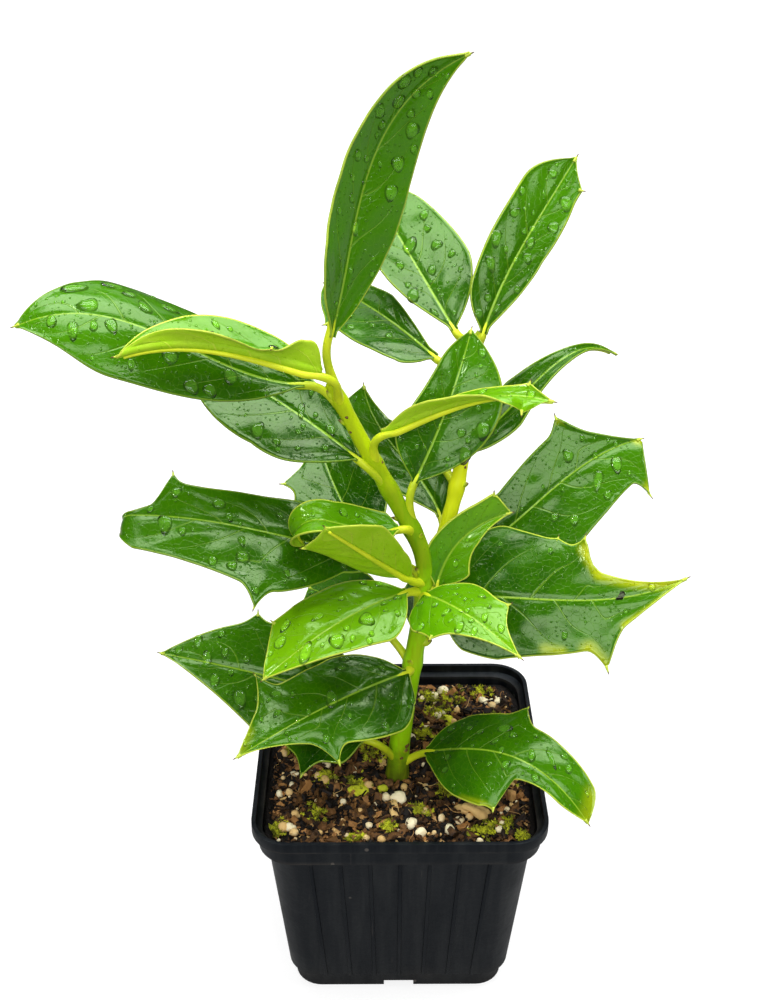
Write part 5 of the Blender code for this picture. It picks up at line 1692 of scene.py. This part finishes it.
def make_leaf(name, row, look):
    """One leaf: blade, stalk with midrib, and a spine at each point of its edge and at its tip."""
    blade = Blade(row, look)
    if row.get("young"):
        kind = "leaf_young"
        top = leaf_top(look, "leaf_young_top", look.young_dark, look.young)
        under = leaf_under(look, "leaf_young_under", look.young_under, look.margin)
    else:
        kind = "leaf_mature"
        top = leaf_top(look, "leaf_mature_top", look.mature_dark, look.mature)
        under = leaf_under(look, "leaf_mature_under", look.under, look.vein)
    pieces = [make_blade(name, blade, [top, under, leaf_margin(look)]), make_stalk(blade, leaf_stalk(look))]
    spine = spine_finish(look)
    for hand in (-1, 1):
        for place, _, _, reach, _ in blade.edges[hand]:
            if reach:
                size = SPINE_LEAST + SPINE_GROWTH * reach
                pieces.append(make_spine(blade, place, hand, spine, size))
    pieces.append(make_spine(blade, 1.0, 0, spine, TIP_SPINE))
    finish(joined(pieces), name + "_dressed", kind, (), name)


# Rain


def drop_shape(segments, rings):
    """A bead of water, one unit across: a ball with a flat lower half, which is sunk into the leaf."""
    sphere = bpy.ops.mesh.primitive_uv_sphere_add
    ball = added(sphere, segments=segments, ring_count=rings, radius=0.5)
    for vert in ball.data.vertices:
        vert.co.z *= 0.15 if vert.co.z < 0 else 1.15 - 0.3 * vert.co.z
    return taken(ball)


def make_drops(leaf, rain):
    """Beads of rain on the upper sides: the large ones of BEADS, then random ones, mostly small."""
    small = drop_shape(10, 7)
    large = drop_shape(16, 10)
    copies = []
    for number, (name, row) in enumerate(LEAVES.items()):
        blade = Blade(row, leaf)
        draw = np.random.default_rng(100 + number)
        tries = list(BEADS.get(name, ()))
        for _ in range(round(row["drops"] * rain.wetness)):
            wide = DROP_LEAST + DROP_RANGE * draw.uniform() ** DROP_SMALL
            place = (draw.uniform(0.05, 0.94), draw.uniform(-0.88, 0.88))
            tries.append((*place, wide * draw.uniform(1.0, 1.7), wide))
        kept = []
        for t, s, long, wide in tries:
            centre, _ = blade.skin(t, s)
            half = blade.edge(t, -1 if s < 0 else 1)[0]
            if (1 - abs(s)) * half < wide * 0.4:
                continue
            if any((centre - other).length < (long + reach) * 0.5 for other, reach in kept):
                continue
            kept.append((centre, long))
            along = blade.skin(t + 0.01, s)[0] - blade.skin(t - 0.01, s)[0]
            across = blade.skin(t, s + 0.03)[0] - blade.skin(t, s - 0.03)[0]
            up = across.cross(along).normalized()
            fall = Vector((0, 0, -1)) + up * up.z
            run = (fall if fall.length > 0.45 else along).normalized()
            height = wide * draw.uniform(0.55, 0.8) * (0.75 if wide > DROP_FLAT else 1.0)
            turn = Matrix((run * long, up.cross(run) * wide, up * height)).transposed()
            shape = wobbled(small if wide < DROP_LARGE else large, draw)
            # The tone of each bead carries its painted shade at the outline.
            copies.append((shape, np.array(turn) * MM, centre - up * DROP_SINK, rim_shade_share(shape)))
    finish(many("rain", copies), "rain_drops", "leaf_mature", [water_finish()])


def rim_shade_share(shape):
    """For each point of a bead, 0 over its middle and 1 at its outline, where it is painted dark as painted
    shade.
    """
    return np.clip((np.hypot(shape[0][:, 0], shape[0][:, 1]) - 0.33) / 0.13, 0, 1)


def wobbled(shape, draw):
    """The same bead with an outline of its own."""
    points, faces = shape
    angle = np.arctan2(points[:, 1], points[:, 0])
    swell = 1 + 0.12 * np.sin(2 * angle + draw.uniform(0, 6)) + 0.1 * np.sin(3 * angle + draw.uniform(0, 6))
    lean = 1 + 0.15 * np.cos(angle)
    return np.column_stack([points[:, 0] * swell * lean, points[:, 1] * swell, points[:, 2]]), faces


# Stage


def add_lamp(name, power):
    """One soft lamp of LAMPS, turned to its target."""
    place, target, size = LAMPS[name]
    lamp = added(bpy.ops.object.light_add, type="AREA", location=place)
    lamp.name = name
    lamp.data.shape = "RECTANGLE"
    lamp.data.size, lamp.data.size_y = size
    lamp.data.energy = power
    lamp.rotation_euler = (Vector(target) - Vector(place)).to_track_quat("-Z", "Y").to_euler()


def floor_finish(stage):
    """A pale floor that glows for the camera only, a little less round the pot as a painted shadow."""
    material, graph, shader = new_material("pale_floor", Roughness=0.8, Specular_IOR_Level=0.0)
    if graph:
        seen = graph.add("LightPath").outputs["Is Camera Ray"]
        away = graph.add("VectorMath", operation="LENGTH")
        graph.put(away.inputs[0], graph.object_place())
        # Painted shadow: near the pot the floor glows less.
        near = graph.band(away.outputs["Value"], *FLOOR_SHADE, 0.72, 1.0)
        graph.put(shader["Base Color"], graph.mix(seen, stage.bounce, stage.floor))
        graph.put(shader["Emission Color"], graph.mix(graph.times(seen, near), stage.bounce, WHITE))
        shader["Emission Strength"].default_value = stage.glow
    return material


def make_stage(stage):
    """A pale floor that runs past the view, soft lamps, and the camera of the photograph."""
    floor = added(bpy.ops.mesh.primitive_plane_add, size=FLOOR_SIZE)
    floor.name = "floor"
    floor.data.materials.append(floor_finish(stage))
    for name in LAMPS:
        add_lamp(name, getattr(stage, name))
    scene = bpy.context.scene
    scene.world = bpy.data.worlds.new("studio")
    scene.world.use_nodes = True
    background = scene.world.node_tree.nodes["Background"].inputs
    background["Color"].default_value = WHITE
    background["Strength"].default_value = stage.ambient
    scene.view_settings.view_transform = "Standard"
    turn = (math.radians(90 - CAMERA_PITCH), 0, math.radians(-CAMERA_YAW))
    camera = added(bpy.ops.object.camera_add, location=Vector(CAMERA_PLACE) * MM, rotation=turn)
    camera.name = "camera"
    camera.data.sensor_width = 36
    camera.data.lens = stage.lens
    camera.data.clip_start = 0.01
    camera.data.clip_end = 50
    scene.camera = camera


# Settings


def tint(name, description, red, green, blue):
    """A setting that is a colour."""
    colour = {"subtype": "COLOR", "size": 4, "min": 0, "max": 1, "default": (red, green, blue, 1.0)}
    return FloatVectorProperty(name=name, description=description, **colour)


def factor(name, description, default):
    """A setting that is a share."""
    return FloatProperty(name=name, description=description, subtype="FACTOR", default=default)


def watts(name, description, default):
    """A setting that is a lamp's power."""
    return FloatProperty(name=name, description=description, subtype="POWER", default=default)


def metres(name, description, default):
    """A setting that is a length."""
    return FloatProperty(name=name, description=description, unit="LENGTH", default=default)


class HollyLeafLook(bpy.types.PropertyGroup):
    """Sizes and colours of the leaves."""

    thickness: metres("Thickness", "Thickness of a blade", 0.0005)
    relief: metres("Relief", "Swell of a blade between veins", 0.0002)
    pairs: FloatProperty(name="Vein pairs", description="Side veins on each half of a blade", default=5.6)
    roughness: factor("Roughness", "Roughness of a dry blade", 0.13)
    mature_dark: tint("Mature, dark", "Darkest green of a grown leaf", 0.006, 0.050, 0.0004)
    mature: tint("Mature", "Green of a grown leaf", 0.060, 0.235, 0.001)
    young_dark: tint("Young, deep", "Deepest green of a young leaf", 0.070, 0.260, 0.001)
    young: tint("Young", "Green of a young leaf", 0.165, 0.420, 0.002)
    under: tint("Underside", "Lower side of a grown leaf", 0.130, 0.300, 0.020)
    young_under: tint("Young underside", "Lower side of a young leaf", 0.330, 0.600, 0.004)
    vein: tint("Vein", "Midrib and side veins on the upper side", 0.300, 0.520, 0.030)
    margin_dull: tint("Dull margin", "Edge of most grown leaves", 0.110, 0.260, 0.012)
    margin: tint("Pale margin", "Edge of young and low leaves", 0.560, 0.680, 0.060)
    stalk: tint("Stalk", "Stalk of a bright leaf", 0.740, 0.820, 0.020)
    stalk_dull: tint("Dull stalk", "Stalk of a dull leaf", 0.400, 0.560, 0.012)
    sheen: tint("Sheen", "Tint of the reflections of a dry blade", 0.800, 1.000, 0.600)
    thorn: tint("Spine point", "Dry point of a spine", 0.090, 0.035, 0.012)
    aged: tint("Ageing", "Yellow of an ageing edge", 0.560, 0.600, 0.010)


class HollyStemLook(bpy.types.PropertyGroup):
    """Colours of the stem and shoot."""

    bark_foot: tint("Foot", "Corky skin at the ground", 0.110, 0.160, 0.008)
    # Partly painted light: the lower stem is brighter than the middle to make up for the leaves' shade.
    bark_low: tint("Lower skin", "Green skin of the lower stem", 0.380, 0.780, 0.006)
    bark_mid: tint("Middle skin", "Green skin of the middle of the stem", 0.210, 0.420, 0.004)
    bark_top: tint("Upper skin", "Yellow-green skin of this year's growth", 0.480, 0.640, 0.006)
    bark_pale: tint("Pale streaks", "Yellow streaks of the skin", 0.380, 0.460, 0.010)
    shoot: tint("Shoot", "Yellow skin of the side shoot", 0.860, 0.920, 0.014)
    scar: tint("Scar", "Brown of scars, scales and flecks", 0.140, 0.080, 0.016)


class HollyPotLook(bpy.types.PropertyGroup):
    """Finish of the nursery pot."""

    plastic: tint("Plastic", "Moulded black plastic", 0.0022, 0.0030, 0.0046)
    plastic_worn: tint("Worn plastic", "Handled plastic", 0.0110, 0.0120, 0.0130)
    dust_colour: tint("Dust", "Dried mix on the plastic", 0.150, 0.130, 0.110)
    dust: factor("Dust", "How dusty the steps and foot are", 0.3)
    roughness: factor("Roughness", "Roughness of the plastic", 0.38)


class HollyMixLook(bpy.types.PropertyGroup):
    """What lies on the potting mix."""

    # Damp humus covers the bed under the strewn pieces: partly its own dark colour, partly painted shade in
    # the gaps.
    humus_dark: tint("Damp humus", "Dark hollows of the mix", 0.0040, 0.0018, 0.0008)
    humus: tint("Humus", "Crumbs on top of the mix", 0.165, 0.075, 0.020)
    bark_dark: tint("Dark bark", "Dark side of the bark flakes", 0.012, 0.005, 0.002)
    bark: tint("Bark", "Lighter side of the bark flakes", 0.400, 0.190, 0.055)
    straw: tint("Straw", "Fibres and pale flakes", 0.760, 0.500, 0.190)
    perlite: tint("Perlite", "Perlite grains", 0.950, 0.850, 0.560)
    moss_dark: tint("Dark moss", "Shaded moss", 0.200, 0.220, 0.012)
    moss: tint("Moss", "Tips of the moss", 0.720, 0.760, 0.035)
    stone: tint("Stone", "Sandy stones", 0.850, 0.580, 0.220)
    crumbs: IntProperty(name="Crumbs", description="Number of crumbs", default=4200, min=0)
    chips: IntProperty(name="Flakes", description="Number of bark flakes", default=1500, min=0)
    fibres: IntProperty(name="Fibres", description="Number of fibres", default=150, min=0)
    grains: IntProperty(name="Perlite grains", description="Number of perlite grains", default=230, min=0)
    cushions: IntProperty(name="Moss", description="Number of moss tufts", default=1300, min=0)


class HollyRainLook(bpy.types.PropertyGroup):
    """Rain on the leaves."""

    wetness: FloatProperty(
        name="Wetness", description="Share of the random beads that are made", default=1.0, min=0, max=3
    )


class HollyStage(bpy.types.PropertyGroup):
    """Floor, lamps and camera."""

    floor: tint("Floor", "Pale floor", 0.30, 0.30, 0.30)
    bounce: tint("Bounce", "Floor as the object sees it", 0.21, 0.21, 0.21)
    glow: FloatProperty(name="Glow", description="Light given off by the floor", default=1.0, min=0)
    overhead: watts("Overhead", "Softbox above", 22.0)
    behind: watts("Behind", "Broad lamp behind", 12.0)
    left: watts("Left", "Small bright lamp at the left", 3.5)
    front: watts("Front", "Broad lamp in front", 24.0)
    ambient: FloatProperty(name="Ambient", description="Light from all round", default=0.05, min=0)
    lens: FloatProperty(name="Lens", description="Focal length", subtype="DISTANCE_CAMERA", default=48.708)


# Operators


class HOLLY_OT_pot(bpy.types.Operator):
    """Model the square nursery pot with its ribs, steps and drain holes"""

    bl_idname = "holly.pot"
    bl_label = "Nursery pot"

    def execute(self, context):
        make_pot(context.scene.holly_pot)
        return {"FINISHED"}


class HOLLY_OT_mix(bpy.types.Operator):
    """Fill the pot with mix and strew bark, perlite, moss and fibres over it"""

    bl_idname = "holly.mix"
    bl_label = "Potting mix"

    def execute(self, context):
        look = context.scene.holly_mix
        make_mix(look)
        dress_mix(look)
        return {"FINISHED"}


class HOLLY_OT_stems(bpy.types.Operator):
    """Model the bent stem and its side shoot with their buds and scars"""

    bl_idname = "holly.stems"
    bl_label = "Stem and shoot"

    def execute(self, context):
        look = context.scene.holly_stem
        skin = green_bark(look)
        make_limb("main", "stem_skin", "main_stem", skin)
        make_limb("shoot", "shoot_skin", "side_shoot", skin)
        make_buds(look)
        return {"FINISHED"}


class HOLLY_OT_leaves(bpy.types.Operator):
    """Model every leaf with its stalk, veins, margin and spines"""

    bl_idname = "holly.leaves"
    bl_label = "Leaves"

    def execute(self, context):
        for name, row in LEAVES.items():
            make_leaf(name, row, context.scene.holly_leaf)
        return {"FINISHED"}


class HOLLY_OT_rain(bpy.types.Operator):
    """Lay beads of rain on the wet leaves"""

    bl_idname = "holly.rain"
    bl_label = "Rain"

    def execute(self, context):
        make_drops(context.scene.holly_leaf, context.scene.holly_rain)
        return {"FINISHED"}


class HOLLY_OT_stage(bpy.types.Operator):
    """Set the pale floor, the soft lamps and the camera"""

    bl_idname = "holly.stage"
    bl_label = "Stage"

    def execute(self, context):
        make_stage(context.scene.holly_stage)
        return {"FINISHED"}


class HOLLY_PT_panel(bpy.types.Panel):
    """Settings and steps of the potted holly"""

    bl_label = "Potted holly"
    bl_space_type = "VIEW_3D"
    bl_region_type = "UI"
    bl_category = "Potted holly"

    def draw(self, context):
        for key, (settings, steps) in SECTIONS.items():
            box = self.layout.box()
            group = getattr(context.scene, key)
            for setting in settings.__annotations__:
                box.prop(group, setting)
            for step in steps:
                box.operator(step.bl_idname)


SECTIONS = {
    "holly_pot": (HollyPotLook, [HOLLY_OT_pot]),
    "holly_mix": (HollyMixLook, [HOLLY_OT_mix]),
    "holly_stem": (HollyStemLook, [HOLLY_OT_stems]),
    "holly_leaf": (HollyLeafLook, [HOLLY_OT_leaves]),
    "holly_rain": (HollyRainLook, [HOLLY_OT_rain]),
    "holly_stage": (HollyStage, [HOLLY_OT_stage]),
}


def register():
    for key, (settings, steps) in SECTIONS.items():
        bpy.utils.register_class(settings)
        setattr(bpy.types.Scene, key, PointerProperty(type=settings))
        for step in steps:
            bpy.utils.register_class(step)
    bpy.utils.register_class(HOLLY_PT_panel)


def unregister():
    bpy.utils.unregister_class(HOLLY_PT_panel)
    for key, (settings, steps) in reversed(SECTIONS.items()):
        for step in steps:
            bpy.utils.unregister_class(step)
        delattr(bpy.types.Scene, key)
        bpy.utils.unregister_class(settings)


def main():
    register()
    make_speckle()
    make_weather()
    make_leaf_pattern()
    bpy.ops.holly.stage()
    bpy.ops.holly.pot()
    bpy.ops.holly.mix()
    bpy.ops.holly.stems()
    bpy.ops.holly.leaves()
    bpy.ops.holly.rain()


if __name__ == "__main__":
    main()
